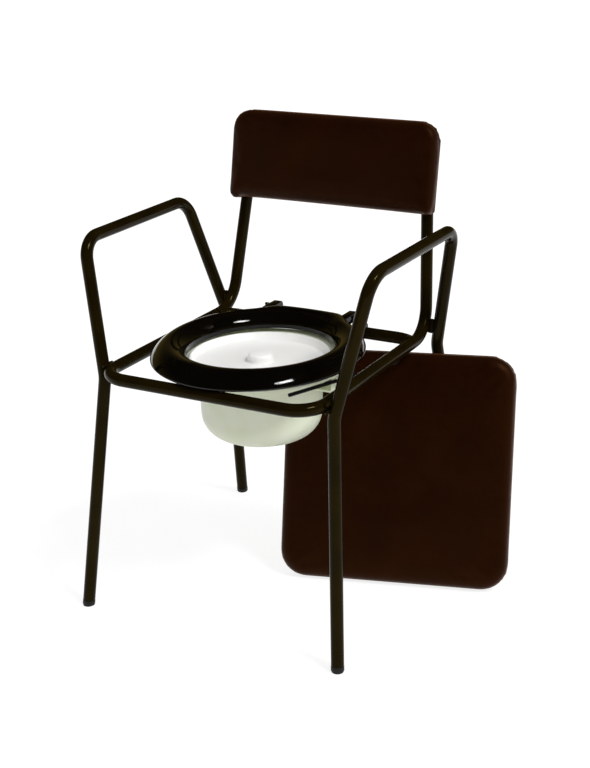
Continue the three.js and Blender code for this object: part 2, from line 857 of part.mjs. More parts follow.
// An ear hooks over the rod on each side: a floor out from the bowl, a wall up inside the rod, and a lip that
// lies on the rod. Its open pocket is the finger grip that lifts the pan. The outline lies in the XZ plane.
function panEar(side) {
  const root = panRadius - panWall / 2;
  const shape = new THREE.Shape();
  shape.moveTo(0, earFloor);
  shape.lineTo(earWallX - earDraft, earFloor);
  shape.lineTo(earWallX, earLip);
  shape.lineTo(earLipX, earLip);
  shape.lineTo(earLipX, earLip + earSheet);
  shape.lineTo(earWallX - earSheet, earLip + earSheet);
  shape.lineTo(earWallX - earSheet - earDraft, earFloor + earSheet);
  shape.lineTo(0, earFloor + earSheet);
  shape.closePath();
  const ear = new THREE.ExtrudeGeometry(shape, { depth: earRearY - earFrontY, bevelEnabled: false });
  ear.rotateX(Math.PI / 2).translate(0, earRearY, 0);
  const room = turned([
    [0, panBottom],
    [root, panBottom],
    [root, panRimTop],
    [0, panRimTop],
  ], roundSteps).translate(0, panCentreY, 0);
  const sided = side < 0 ? facingOut(moved(ear, new THREE.Matrix4().makeScale(-1, 1, 1))) : ear;
  return cut(sided, [room]);
}

function pan() {
  const bowl = turned(panProfile(), roundSteps).translate(0, panCentreY, 0);
  return named("pan", join([bowl, panEar(-1), panEar(1)]), panWhite);
}

function panLid() {
  const seat = panRimTop - panLedgeDrop + 2 * contactGap;
  const floor = seat - lidWellDepth;
  const draft = lidWellDepth / 3;
  const knobTop = floor + lidSheet + knobHeight;
  const knobEdge = knobRadius * knobCrownShare;
  const profile = [
    [0, floor],
    [lidWellRadius - draft, floor],
    [lidWellRadius, seat],
    [lidRadius, seat],
    [lidRadius, seat + lidSheet],
    [lidWellRadius - lidSheet, seat + lidSheet],
    [lidWellRadius - lidSheet - draft, floor + lidSheet],
    [knobRadius + lidSheet, floor + lidSheet],
    [knobRadius, floor + lidSheet + lidSheet / 2],
    [knobRadius, knobTop - lidSheet],
    [knobEdge, knobTop],
    [0, knobTop + lidSheet / 2],
  ];
  const lid = turned(profile, roundSteps).translate(0, panCentreY, 0);
  return named("pan_lid", lid, lidWhite);
}

const cushionHeading = THREE.MathUtils.degToRad(cushionHeadingDegrees);

// How far a point lies behind the cushion's foot, square to the way that the cushion faces.
function behindFoot([x, y]) {
  return (y - cushionFootY) * Math.cos(cushionHeading) - (x - cushionFootX) * Math.sin(cushionHeading);
}

// The lean at which the cushion's top back edge just meets a straight run of the leg.
function leanAgainst(low, high) {
  const legLean = Math.atan((behindFoot(high) - behindFoot(low)) / (high[2] - low[2]));
  const atFloor = behindFoot(low) - low[2] * Math.tan(legLean);
  const reach = atFloor * Math.cos(legLean) - tubeRadius - contactGap;
  return legLean + Math.asin(reach / cushionHeight);
}

// The cushion meets the right rear leg below its kink or above it, whichever comes first.
function cushionLean() {
  const foot = [footX, rearFootY, 0];
  const kink = [kinkX, rearKinkY, kinkHeight];
  const arm = [armX, rearArmY, armHeight];
  return Math.min(leanAgainst(foot, kink), leanAgainst(kink, arm));
}

// The cushion stands on the floor on its lower back edge and leans back on the right rear leg.
function cushionMatrix() {
  const backEdge = coverThickness + contactGap;
  const centre = new THREE.Matrix4().makeTranslation(cushionWidth / 2, -backEdge, cushionHeight / 2);
  const tilt = new THREE.Matrix4().makeRotationX(-cushionLean());
  const turn = new THREE.Matrix4().makeRotationZ(cushionHeading);
  const place = new THREE.Matrix4().makeTranslation(cushionFootX, cushionFootY, 0);
  return place.multiply(turn).multiply(tilt).multiply(centre);
}

// A batten hangs down between the toilet seat and the side rail when the cushion is on the chair.
function batten(side) {
  const strip = new THREE.BoxGeometry(battenWidth, battenDepth, battenLength);
  const x = (side * (seatHalfWidth + seatRailX - tubeRadius)) / 2;
  const y = contactGap + battenDepth / 2;
  const placed = strip.translate(x, y, 0).applyMatrix4(cushionMatrix());
  return named("cushion_batten_" + sideName(side), placed, beech);
}

function cushion() {
  const matrix = cushionMatrix();
  const group = new THREE.Group();
  group.add(named("cushion_board", moved(padBoard(cushionPad), matrix), plywood));
  group.add(named("cushion_foam", moved(padFoam(cushionPad), matrix), foamYellow));
  group.add(named("cushion_cover", moved(padCover(cushionPad), matrix), vinylBrown));
  group.add(batten(-1), batten(1));
  return group;
}

const chair = new THREE.Group();
chair.add(seatBackTube(), rearRail(), backrest(), toiletSeat(), pan(), panLid(), cushion());
for (const side of [-1, 1]) {
  chair.add(sideFrame(side), uprightPlug(side), panRod(side), hingeBlock(side), hingePin(side));
  chair.add(hingeScrew(side), seatBuffer(side));
  chair.add(glide(side, frontFootY, frontKinkY, "front"), glide(side, rearFootY, rearKinkY, "rear"));
}

// The origin is on the floor, under the middle of everything that stands there.
const extent = new THREE.Box3().setFromObject(chair);
const middle = extent.getCenter(new THREE.Vector3());
chair.position.set(-middle.x, -middle.y, -extent.min.z);

const part = new THREE.Group();
part.add(chair);

export default part;
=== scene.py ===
import math

import bmesh
import bpy
from mathutils import Matrix, Vector


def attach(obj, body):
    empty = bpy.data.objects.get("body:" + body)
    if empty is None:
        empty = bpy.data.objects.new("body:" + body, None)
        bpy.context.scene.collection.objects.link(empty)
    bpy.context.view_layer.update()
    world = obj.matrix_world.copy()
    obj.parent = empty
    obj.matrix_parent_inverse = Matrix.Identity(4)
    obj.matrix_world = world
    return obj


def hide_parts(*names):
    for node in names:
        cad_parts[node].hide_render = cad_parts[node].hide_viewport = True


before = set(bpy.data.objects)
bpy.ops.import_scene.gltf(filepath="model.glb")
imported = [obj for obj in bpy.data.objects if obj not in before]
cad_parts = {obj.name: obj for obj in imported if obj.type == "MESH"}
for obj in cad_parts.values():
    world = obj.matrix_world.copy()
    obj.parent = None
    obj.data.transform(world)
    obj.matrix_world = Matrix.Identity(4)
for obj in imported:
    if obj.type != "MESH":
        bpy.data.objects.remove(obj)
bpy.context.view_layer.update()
print("frame loaded:", len(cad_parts), "nodes")

middle = Vector((57.634, 10.294, 0))  # mm from the chair's own middle to the shared origin


def at(x, y, z):
    return (Vector((x, y, z)) - middle) / 1000


def both(make):
    make(-1)
    make(1)


def sideName(side):
    return "Left" if side < 0 else "Right"


view = {"azimuth": 29.198, "elevation": 20.476, "roll": -1.421, "lens": 67.347, "sensor": 36,
        "place": (1190.21, -2060.61, 1260.2)}
studio = {
    "floorColour": "e6e6e2", "floorReach": 40, "floorDrop": 0.3, "floorGlow": 0.8, "floorShade": 0.3,
    "fill": 0.57, "wallSeen": (0.14, 0.1, 0.026), "ceilingSeen": (0.004, 0.004, 0.004), "wallTop": 0.6,
    "keyLeft": {"from": (0.615, -0.21, 0.77), "strength": 0.55, "spread": 10, "mirrored": True},
    "keyMiddle": {"from": (0.64, -0.13, 0.77), "strength": 0.55, "spread": 10, "mirrored": True},
    "keyRight": {"from": (0.65, -0.05, 0.77), "strength": 0.55, "spread": 10, "mirrored": True},
    "side": {"from": (0.8, 0.3, 0.4), "strength": 0.5, "spread": 45, "mirrored": False},
}


def makeCamera():
    azimuth, elevation, roll = (math.radians(view[k]) for k in ("azimuth", "elevation", "roll"))
    level = Vector((math.sin(azimuth), -math.cos(azimuth), 0))
    back = level * math.cos(elevation) + Vector((0, 0, math.sin(elevation)))
    right = Vector((math.cos(azimuth), math.sin(azimuth), 0))
    up = back.cross(right)
    across = right * math.cos(roll) + up * math.sin(roll)
    upright = up * math.cos(roll) - right * math.sin(roll)
    lens = bpy.data.cameras.new("camera")
    lens.lens = view["lens"]
    lens.sensor_width = view["sensor"]
    camera = bpy.data.objects.new("camera", lens)
    turned = Matrix((across, upright, back)).transposed().to_4x4()
    camera.matrix_world = Matrix.Translation(at(*view["place"])) @ turned
    bpy.context.scene.collection.objects.link(camera)
    bpy.context.scene.camera = camera


def linear(code):
    channels = []
    for start in (0, 2, 4):
        value = int(code[start:start + 2], 16) / 255
        channels.append(value / 12.92 if value <= 0.04045 else ((value + 0.055) / 1.055) ** 2.4)
    return (*channels, 1)


def addNode(tree, kind, settings=None, links=None):
    node = tree.nodes.new(kind)  # settings go to an attribute or a socket, links are {socket: (node, output)}
    for name, value in (settings or {}).items():
        if isinstance(name, str) and hasattr(node, name):
            setattr(node, name, value)
        else:
            node.inputs[name].default_value = value
    for name, (source, output) in (links or {}).items():
        tree.links.new(source.outputs[output], node.inputs[name])
    return node


def makeLight(name, settings):
    lamp = bpy.data.lights.new(name, "SUN")
    lamp.energy = settings["strength"]
    lamp.angle = math.radians(settings["spread"])
    light = bpy.data.objects.new(name, lamp)
    light.matrix_world = Vector(settings["from"]).to_track_quat("Z", "Y").to_matrix().to_4x4()
    light.visible_glossy = settings["mirrored"]
    bpy.context.scene.collection.objects.link(light)


# The air is white to the camera and a soft grey fill to the object. Polished things mirror a dim warm room
# under a dark ceiling, and the white floor.
def makeAir():
    world = bpy.data.worlds.new("studio")
    world.use_nodes = True
    tree = world.node_tree
    tree.nodes.clear()
    path = addNode(tree, "ShaderNodeLightPath")
    place = addNode(tree, "ShaderNodeTexCoord")
    upward = addNode(tree, "ShaderNodeSeparateXYZ", None, {0: (place, "Generated")})
    rise = {"interpolation_type": "SMOOTHSTEP", "From Max": studio["wallTop"]}
    height = addNode(tree, "ShaderNodeMapRange", rise, {"Value": (upward, "Z")})
    wall, ceiling = (*studio["wallSeen"], 1), (*studio["ceilingSeen"], 1)
    room = addNode(tree, "ShaderNodeMix", {"data_type": "RGBA", 6: wall, 7: ceiling}, {0: (height, 0)})
    fill = addNode(tree, "ShaderNodeMix", {"data_type": "RGBA", 6: (*[studio["fill"]] * 3, 1)},
                   {0: (path, "Is Glossy Ray"), 7: (room, 2)})
    sky = addNode(tree, "ShaderNodeMix", {"data_type": "RGBA", 7: (1, 1, 1, 1)},
                  {0: (path, "Is Camera Ray"), 6: (fill, 2)})
    air = addNode(tree, "ShaderNodeBackground", None, {"Color": (sky, 2)})
    addNode(tree, "ShaderNodeOutputWorld", None, {"Surface": (air, 0)})
    bpy.context.scene.world = world


# The floor shows white in the picture and in anything polished, and still takes the object's shadow.
def makeFloor():
    bm = bmesh.new()
    bmesh.ops.create_grid(bm, x_segments=1, y_segments=1, size=studio["floorReach"])
    bmesh.ops.translate(bm, verts=bm.verts, vec=(0, 0, -studio["floorDrop"] / 1000))
    mesh = bpy.data.meshes.new("floor")
    bm.to_mesh(mesh)
    bm.free()
    floor = bpy.data.objects.new("floor", mesh)
    bpy.context.scene.collection.objects.link(floor)
    material = bpy.data.materials.new("paintedFloor")
    material.use_nodes = True
    tree = material.node_tree
    tree.nodes.clear()
    path = addNode(tree, "ShaderNodeLightPath")
    seen = addNode(tree, "ShaderNodeMath", {"operation": "ADD"},
                   {0: (path, "Is Camera Ray"), 1: (path, "Is Glossy Ray")})
    shown = addNode(tree, "ShaderNodeMath", {"operation": "ADD", "use_clamp": True},
                    {0: (seen, 0), 1: (path, "Is Transmission Ray")})
    plain = addNode(tree, "ShaderNodeBsdfDiffuse", {"Color": linear(studio["floorColour"])})
    shade = addNode(tree, "ShaderNodeBsdfDiffuse", {"Color": (*[studio["floorShade"]] * 3, 1)})
    glow = addNode(tree, "ShaderNodeEmission", {"Color": (1, 1, 1, 1), "Strength": studio["floorGlow"]})
    white = addNode(tree, "ShaderNodeAddShader", None, {0: (shade, 0), 1: (glow, 0)})
    mixed = addNode(tree, "ShaderNodeMixShader", None, {0: (shown, 0), 1: (plain, 0), 2: (white, 0)})
    addNode(tree, "ShaderNodeOutputMaterial", None, {"Surface": (mixed, 0)})
    mesh.materials.append(material)


makeCamera()
makeAir()
makeFloor()
for name in ("keyLeft", "keyMiddle", "keyRight", "side"):
    makeLight(name, studio[name])
bpy.context.scene.view_settings.view_transform = "Standard"
print("camera and stage made")


# Soft noise, one blotch every size millimetres, between two values.
def blotches(tree, place, size, low, high, detail=3.0):
    noise = addNode(tree, "ShaderNodeTexNoise", {"Scale": 1000 / size, "Detail": detail, "Roughness": 0.5},
                    {"Vector": (place, "Object")})
    spread = {"From Min": 0.3, "From Max": 0.7, "To Min": low, "To Max": high}
    return addNode(tree, "ShaderNodeMapRange", spread, {"Value": (noise, "Fac")})


# A finish: the shader's settings, then tones (size, first, second), a roughness (size, low, high) that varies
# in blotches, and a fine relief (size, detail, depth, strength). Size is one blotch in mm, depth is in mm.
# Tones with scales as a fourth entry are wood grain, and a relief whose detail is None is leather grain.
def surface(name, settings, tones, rough, relief):
    material = bpy.data.materials.new(name)
    material.use_nodes = True
    tree = material.node_tree
    shader = tree.nodes["Principled BSDF"]
    for socket, value in settings.items():
        shader.inputs[socket].default_value = value
    place = addNode(tree, "ShaderNodeTexCoord")
    if len(tones) == 3:
        share = blotches(tree, place, tones[0], 0.0, 1.0)
    else:
        share = streaks(tree, place, tones[0], tones[3])
    colours = {"data_type": "RGBA", "clamp_factor": True, 6: linear(tones[1]), 7: linear(tones[2])}
    colour = addNode(tree, "ShaderNodeMix", colours, {0: (share, 0)})
    tree.links.new(colour.outputs[2], shader.inputs["Base Color"])
    tree.links.new(blotches(tree, place, *rough).outputs[0], shader.inputs["Roughness"])
    size, detail, depth, strength = relief
    height = blotches(tree, place, size, 0, 1, detail) if detail else leather(tree, place, size)
    bump = addNode(tree, "ShaderNodeBump", {"Distance": depth / 1000, "Strength": strength},
                   {"Height": (height, 0)})
    tree.links.new(bump.outputs[0], shader.inputs["Normal"])
    return material


# Wood grain: noise drawn out along the direction whose scale is small.
def streaks(tree, place, size, scales):
    drawn = addNode(tree, "ShaderNodeMapping", {"Scale": scales}, {"Vector": (place, "Object")})
    wander = addNode(tree, "ShaderNodeTexNoise", {"Scale": 1000 / size, "Detail": 6.0, "Roughness": 0.65},
                     {"Vector": (drawn, 0)})
    spread = {"From Min": 0.35, "From Max": 0.65}
    return addNode(tree, "ShaderNodeMapRange", spread, {"Value": (wander, "Fac")})


# Small cells with rounded grooves between them, and softer unevenness under them.
grain = {"groove": 0.35, "soft": 9, "softShare": 0.6, "softDetail": 4.0}


def leather(tree, place, size):
    cells = addNode(tree, "ShaderNodeTexVoronoi", {"feature": "DISTANCE_TO_EDGE", "Scale": 1000 / size},
                    {"Vector": (place, "Object")})
    edge = addNode(tree, "ShaderNodeMapRange", {"From Max": grain["groove"]}, {"Value": (cells, "Distance")})
    soft = blotches(tree, place, grain["soft"], 0.0, grain["softShare"], grain["softDetail"])
    return addNode(tree, "ShaderNodeMath", {"operation": "ADD"}, {0: (edge, 0), 1: (soft, 0)})


# Stove-enamelled steel tube: a dark olive brown, glossy, with the faint waviness of a dipped coat.
enamelBrown = surface(
    "stoveEnamelledSteel", {"IOR": 1.5, "Specular IOR Level": 0.08, "Specular Tint": (1, 0.8, 0.35, 1)},
    (60, "120c02", "1b1404"), (25, 0.1, 0.17), (3.2, 1.5, 0.2, 0.12))

# Embossed PVC upholstery: near-black brown, a fine leather grain pressed in, a low satin sheen.
# The real grain is about 0.8 mm; it is drawn at 1.4 mm so that it shows.
vinylBrown = surface(
    "embossedVinyl",
    {"IOR": 1.45, "Specular IOR Level": 0.16, "Specular Tint": (1, 0.45, 0.2, 1),
     "Sheen Weight": 0.2, "Sheen Roughness": 0.4, "Sheen Tint": (1, 0.36, 0.14, 1)},
    (90, "160500", "1e0800"), (14, 0.36, 0.5), (1.4, None, 0.12, 0.35))

# Moulded thermoset seat: jet black and polished by its mould, so its streaks of light are sharp.
seatBlack = surface(
    "pressedUreaBlack", {"IOR": 1.5, "Specular IOR Level": 0.3},
    (70, "040302", "080603"), (30, 0.035, 0.075), (18, 1.0, 0.2, 0.03))

# Moulded polypropylene of the pan: milky, a little green, light soaks into it.
panWhite = surface(
    "mouldedPolypropyleneNatural",
    {"IOR": 1.49, "Subsurface Weight": 0.35, "Subsurface Radius": (0.9, 1.0, 0.7), "Subsurface Scale": 0.008},
    (45, "e4ecd0", "ecf2dc"), (20, 0.32, 0.45), (1.2, 2.0, 0.1, 0.08))

# Moulded polypropylene of the lid: the same plastic with white pigment.
lidWhite = surface(
    "mouldedPolypropyleneWhite",
    {"IOR": 1.49, "Subsurface Weight": 0.2, "Subsurface Radius": (1.0, 1.0, 0.9), "Subsurface Scale": 0.003},
    (50, "fbfaf6", "fdfdfa"), (20, 0.3, 0.42), (1.2, 2.0, 0.1, 0.06))

# Black moulded polyethylene of plugs and glides: a dull bloom and a spark-eroded grain.
plugBlack = surface(
    "mouldedPolyethyleneBlack", {"IOR": 1.5, "Specular IOR Level": 0.25},
    (8, "0c0b09", "171613"), (4, 0.45, 0.65), (0.7, 2.0, 0.1, 0.25))

# Black rubber of the seat's buffers.
rubberBlack = surface(
    "vulcanisedRubber", {"IOR": 1.52},
    (5, "0b0b0a", "151513"), (3, 0.65, 0.85), (0.6, 2.0, 0.1, 0.3))

# Painted steel rod under the pan and of the hinge pins: thin black paint, a little uneven.
rodBlack = surface(
    "paintedSteelRod", {"IOR": 1.5, "Specular IOR Level": 0.08},
    (12, "080706", "100e0b"), (6, 0.25, 0.4), (1.5, 2.0, 0.1, 0.15))

# Zinc-plated steel of the screws: grey, bright, faintly uneven.
zinc = surface(
    "zincPlatedSteel", {"Metallic": 1.0},
    (5, "8f9092", "a9a9a6"), (2, 0.24, 0.4), (0.5, 2.0, 0.05, 0.2))

# Birch plywood of the two boards: a rotary-cut face with long pale streaks.
plywood = surface(
    "birchPlywood", {"IOR": 1.45},
    (7, "c9a97c", "ac8557", (0.12, 1.0, 1.0)), (12, 0.6, 0.8), (1.5, 3.0, 0.1, 0.25))

# Planed beech of the battens: short darker flecks along the strip.
beech = surface(
    "planedBeech", {"IOR": 1.45},
    (4, "b98d5c", "96693c", (1.0, 1.0, 0.15)), (8, 0.5, 0.7), (1.0, 3.0, 0.1, 0.2))
print("materials made")


edgeBreak = {"angle": 35, "segments": 3}  # a bevel takes the edges sharper than this angle


# Faces out, edges sharper than sharp degrees kept, a bevel in mm, and what the piece rides on and stands for.
def finishPiece(name, bm, material, body, stands=(), sharp=38, bevel=None):
    bmesh.ops.remove_doubles(bm, verts=bm.verts, dist=1e-6)
    bmesh.ops.recalc_face_normals(bm, faces=bm.faces)
    if bm.calc_volume(signed=True) < 0:
        bmesh.ops.reverse_faces(bm, faces=bm.faces)
    mesh = bpy.data.meshes.new(name)
    bm.to_mesh(mesh)
    bm.free()
    mesh.shade_smooth()
    mesh.set_sharp_from_angle(angle=math.radians(sharp))
    mesh.materials.append(material)
    piece = bpy.data.objects.new(name, mesh)
    bpy.context.scene.collection.objects.link(piece)
    if bevel:
        edge = piece.modifiers.new("edgeBreak", "BEVEL")
        edge.width = bevel / 1000
        edge.segments = edgeBreak["segments"]
        edge.limit_method = "ANGLE"
        edge.angle_limit = math.radians(edgeBreak["angle"])
    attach(piece, body)
    if stands:
        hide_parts(*stands)


def turnFrom(direction):
    return direction.to_track_quat("Z", "Y").to_matrix().to_4x4()


def newVerts(result):
    return [g for g in result["geom"] if isinstance(g, bmesh.types.BMVert)]


# A profile of (radius, height) pairs in mm, spun round the upright line through centre.
def spinProfile(bm, profile, centre, steps):
    verts = [bm.verts.new(centre + Vector((radius, 0, height)) / 1000) for radius, height in profile]
    edges = [bm.edges.new(pair) for pair in zip(verts, verts[1:])]
    bmesh.ops.spin(bm, geom=verts + edges, cent=centre, axis=(0, 0, 1), dvec=(0, 0, 0),
                   angle=2 * math.pi, steps=steps, use_merge=True, use_duplicate=False)
    bmesh.ops.remove_doubles(bm, verts=bm.verts, dist=1e-6)


# Cuts everything in bm by a plane and closes the cut.
def trimmed(bm, place, normal, **side):
    cut = bmesh.ops.bisect_plane(bm, geom=bm.verts[:] + bm.edges[:] + bm.faces[:], plane_co=place,
                                 plane_no=normal, **side)
    bmesh.ops.holes_fill(bm, edges=[g for g in cut["geom_cut"] if isinstance(g, bmesh.types.BMEdge)], sides=0)


# Points of an arc, angles in degrees.
def arcPoints(centre, radius, start, end, steps):
    return [(centre[0] + radius * math.cos(math.radians(a)), centre[1] + radius * math.sin(math.radians(a)))
            for a in (start + (end - start) * i / steps for i in range(steps + 1))]


def extrudeOutline(bm, outline, depth):
    face = bm.faces.new([bm.verts.new(point) for point in outline])
    drawn = bmesh.ops.extrude_face_region(bm, geom=[face])
    bmesh.ops.translate(bm, verts=newVerts(drawn), vec=depth)


# All four frame tubes, in mm in the chair's own place. The lean is the upright's run back for each mm up.
tube = {
    "radius": 10.9, "sides": 32, "bendStep": 5,
    "railHeight": 436.6, "railX": 202.5, "frontRailY": -243, "frontCorner": 50,
    "footX": 250, "frontFootY": -259.5, "rearFootY": 280,
    "kinkHeight": 418, "kinkX": 220.553, "kinkY": 201.6, "kinkRadius": 60,
    "armX": 270.482, "armHeight": 647, "frontArmY": -166, "rearArmY": 150.5, "armRadius": 42,
    "baseY": 193.8, "lean": 0.192, "baseRadius": 62, "topHeight": 785, "topX": 174, "footRise": 10,
    "rearRailY": 150, "rearRailX": 186, "rearSweep": 13.68, "rearReach": 16, "rearRadius": 60,
}


# A tube through the corners, bent by a radius at each one between its ends, and closed at both ends.
def bentTube(bm, corners, radii, radius, sides):
    corners = [at(*corner) for corner in corners]
    heading = (corners[1] - corners[0]).normalized()
    ring = bmesh.ops.create_circle(bm, segments=sides, radius=radius / 1000,
                                   matrix=Matrix.Translation(corners[0]) @ turnFrom(heading))
    verts = ring["verts"]
    edges = list({edge for vert in verts for edge in vert.link_edges})
    place = corners[0]
    for i in range(1, len(corners)):
        heading = (corners[i] - corners[i - 1]).normalized()
        last = i + 1 == len(corners)
        onward = heading if last else (corners[i + 1] - corners[i]).normalized()
        turn = heading.angle(onward, 0)
        setback = 0 if last else radii[i - 1] / 1000 * math.tan(turn / 2)
        run = (corners[i] - place).length - setback
        drawn = bmesh.ops.extrude_edge_only(bm, edges=edges)
        verts = newVerts(drawn)
        bmesh.ops.translate(bm, verts=verts, vec=heading * run)
        edges = [g for g in drawn["geom"]
                 if isinstance(g, bmesh.types.BMEdge) and all(v in verts for v in g.verts)]
        if last:
            break
        axis = heading.cross(onward).normalized()
        centre = corners[i] - heading * setback + axis.cross(heading) * radii[i - 1] / 1000
        spun = bmesh.ops.spin(bm, geom=verts + edges, cent=centre, axis=axis, dvec=(0, 0, 0), angle=turn,
                              steps=max(3, round(math.degrees(turn) / tube["bendStep"])), use_merge=False)
        verts = [g for g in spun["geom_last"] if isinstance(g, bmesh.types.BMVert)]
        edges = [g for g in spun["geom_last"] if isinstance(g, bmesh.types.BMEdge)]
        place = corners[i] + onward * setback
    bmesh.ops.holes_fill(bm, edges=[edge for edge in bm.edges if edge.is_boundary], sides=0)


def kneeRun(side, y, footY, armY):
    return [(side * tube["footX"], footY, 0), (side * tube["kinkX"], y, tube["kinkHeight"]),
            (side * tube["armX"], armY, tube["armHeight"])]


def shortened(corner, nextCorner, length):
    corner, nextCorner = Vector(corner), Vector(nextCorner)
    return tuple(corner + (nextCorner - corner).normalized() * length)


def sideFrame(side):
    front = kneeRun(side, -tube["kinkY"], tube["frontFootY"], tube["frontArmY"])
    rear = kneeRun(side, tube["kinkY"], tube["rearFootY"], tube["rearArmY"])
    front[0] = shortened(front[0], front[1], tube["footRise"])
    rear[0] = shortened(rear[0], rear[1], tube["footRise"])
    kink, arm = tube["kinkRadius"], tube["armRadius"]
    bm = bmesh.new()
    bentTube(bm, front + rear[::-1], [kink, arm, arm, kink], tube["radius"], tube["sides"])
    finishPiece("sideFrame" + sideName(side), bm, enamelBrown, "frame",
                ["side_frame_" + sideName(side).lower()])


def uprightTop(side):
    back = (tube["topHeight"] - tube["railHeight"]) * tube["lean"]
    return (side * tube["topX"], tube["baseY"] + back, tube["topHeight"])


def uprightBase(side):
    return (side * tube["railX"], tube["baseY"], tube["railHeight"])


def seatBackTube():
    front = [(side * tube["railX"], tube["frontRailY"], tube["railHeight"]) for side in (-1, 1)]
    bm = bmesh.new()
    bentTube(bm, [uprightTop(-1), uprightBase(-1), *front, uprightBase(1), uprightTop(1)],
             [tube["baseRadius"], tube["frontCorner"], tube["frontCorner"], tube["baseRadius"]],
             tube["radius"], tube["sides"])
    finishPiece("seatBackTube", bm, enamelBrown, "frame", ["seat_back_tube"])


def rearRail():
    bend, y, z = tube["rearRailX"], tube["rearRailY"], tube["railHeight"]
    end, endY = bend + tube["rearReach"], y - tube["rearSweep"]
    bm = bmesh.new()
    bentTube(bm, [(-end, endY, z), (-bend, y, z), (bend, y, z), (end, endY, z)],
             [tube["rearRadius"]] * 2, tube["radius"], tube["sides"])
    finishPiece("rearRail", bm, enamelBrown, "frame", ["rear_rail"])


both(sideFrame)
seatBackTube()
rearRail()
print("tubes bent")


# The pan's rods lie under the side rails, welded at one end, and reach in under the pan's ears.
rod = {"radius": 3.2, "freeX": 111.4, "freeY": -151.8, "weldY": 63, "past": 4, "height": 422.0, "sides": 20}


def panRod(side):
    free = Vector((side * rod["freeX"], rod["freeY"], rod["height"]))
    weld = Vector((side * tube["railX"], rod["weldY"], rod["height"]))
    far = weld + (weld - free).normalized() * rod["past"]
    bm = bmesh.new()
    bentTube(bm, [free, far], [], rod["radius"], rod["sides"])
    finishPiece("panRod" + sideName(side), bm, rodBlack, "frame",
                ["pan_rod_" + sideName(side).lower()], bevel=0.7)


# Weld beads under the enamel: short rows of overlapping ripples along a line, thicker in the middle.
bead = {"pitch": 2.6, "ripple": 2.86, "width": 5.2, "height": 3.4, "endShare": 0.75,
        "segments": 12, "rings": 8}


def weldBead(name, points, width=1.0, height=1.0):
    bm = bmesh.new()
    for i, (place, along, out) in enumerate(points):
        middleShare = math.sin(math.pi * (i + 0.5) / len(points))
        size = width * (bead["endShare"] + (1 - bead["endShare"]) * middleShare)
        made = bmesh.ops.create_uvsphere(bm, u_segments=bead["segments"], v_segments=bead["rings"], radius=1)
        across = along.cross(out).normalized()
        turned = Matrix((along, across, out)).transposed().to_4x4()
        lengths = Vector((bead["ripple"], bead["width"] * size, bead["height"] * height * size)) / 1000
        bmesh.ops.transform(bm, verts=made["verts"],
                            matrix=Matrix.Translation(place) @ turned @ Matrix.Diagonal((*lengths, 1)))
    finishPiece(name, bm, enamelBrown, "frame", sharp=70)


# In front the leg touches the side rail, and a bead runs along the rail above and below the touch.
touch = {"outX": 0.55, "outZ": 0.98, "acrossShare": 0.92, "upShare": 0.62, "ripples": 9}


def frontWelds(side):
    x = side * (tube["railX"] + tube["radius"] * touch["acrossShare"])
    for level, lift in (("Upper", 1), ("Lower", -1)):
        z = tube["railHeight"] + lift * tube["radius"] * touch["upShare"]
        out = Vector((side * touch["outX"], 0, lift * touch["outZ"])).normalized()
        points = []
        for i in range(touch["ripples"]):
            y = -tube["kinkY"] + (i - (touch["ripples"] - 1) / 2) * bead["pitch"]
            points.append((at(x, y, z), Vector((0, 1, 0)), out))
        weldBead("frontWeld" + level + sideName(side), points)


# At the rear the leg passes the upright's bend a few millimetres away, and the weld fills that space.
bridge = {"leg": (227.8, 194.2, 451.1), "bend": (201.0, 186.8, 455.1), "along": (0.1, 0.2, 0.97),
          "ripples": 9, "height": 2.1}


def rearWeld(side):
    leg, bend, along = (Vector((side * x, y, z)) for x, y, z in (bridge[k] for k in ("leg", "bend", "along")))
    out = (leg - bend).normalized()
    along = (along - out * along.dot(out)).normalized()
    centre = (leg + bend) / 2
    points = []
    for i in range(bridge["ripples"]):
        place = centre + along * (i - (bridge["ripples"] - 1) / 2) * bead["pitch"]
        points.append((at(*place), along, out))
    weldBead("rearWeld" + sideName(side), points, height=bridge["height"])


# A bead runs round each end of the rear rail, wrapped further round the side rail above and below.
wrap = {"radiusShare": 0.98, "y": 137.4, "headingX": 0.86, "headingY": -0.51, "ripples": 26, "back": 2.0,
        "forward": 4.5, "width": 0.7}


def rearRailWeld(side):
    radius = tube["radius"] * wrap["radiusShare"]
    centre = Vector((side * (tube["railX"] - radius), wrap["y"], tube["railHeight"]))
    heading = Vector((side * wrap["headingX"], wrap["headingY"], 0)).normalized()
    upward = Vector((0, 0, 1))
    across = heading.cross(upward)
    points = []
    for i in range(wrap["ripples"]):
        angle = 2 * math.pi * i / wrap["ripples"]
        high = abs(math.sin(angle))
        out = across * math.cos(angle) + upward * math.sin(angle)
        along = upward * math.cos(angle) - across * math.sin(angle)
        place = centre + out * radius - heading * (wrap["back"] * (1 - high) - wrap["forward"] * high ** 2)
        points.append((at(*place), along.normalized(), out))
    weldBead("rearRailWeld" + sideName(side), points, width=wrap["width"])


# A short bead runs slantwise over the end of each rod.
rodBead = {"startX": -6, "startY": -8, "stepX": 1.9, "stepY": 3.4, "up": 1.6, "alongX": 0.5, "alongY": 0.86,
           "ripples": 5, "width": 0.75}


def rodWeld(side):
    along = Vector((side * rodBead["alongX"], rodBead["alongY"], 0)).normalized()
    points = []
    for i in range(rodBead["ripples"]):
        x = side * (tube["railX"] + rodBead["startX"] + rodBead["stepX"] * i)
        y = rod["weldY"] + rodBead["startY"] + rodBead["stepY"] * i
        points.append((at(x, y, rod["height"] + rodBead["up"]), along, Vector((0, 0, -1))))
    weldBead("rodWeld" + sideName(side), points, width=rodBead["width"])


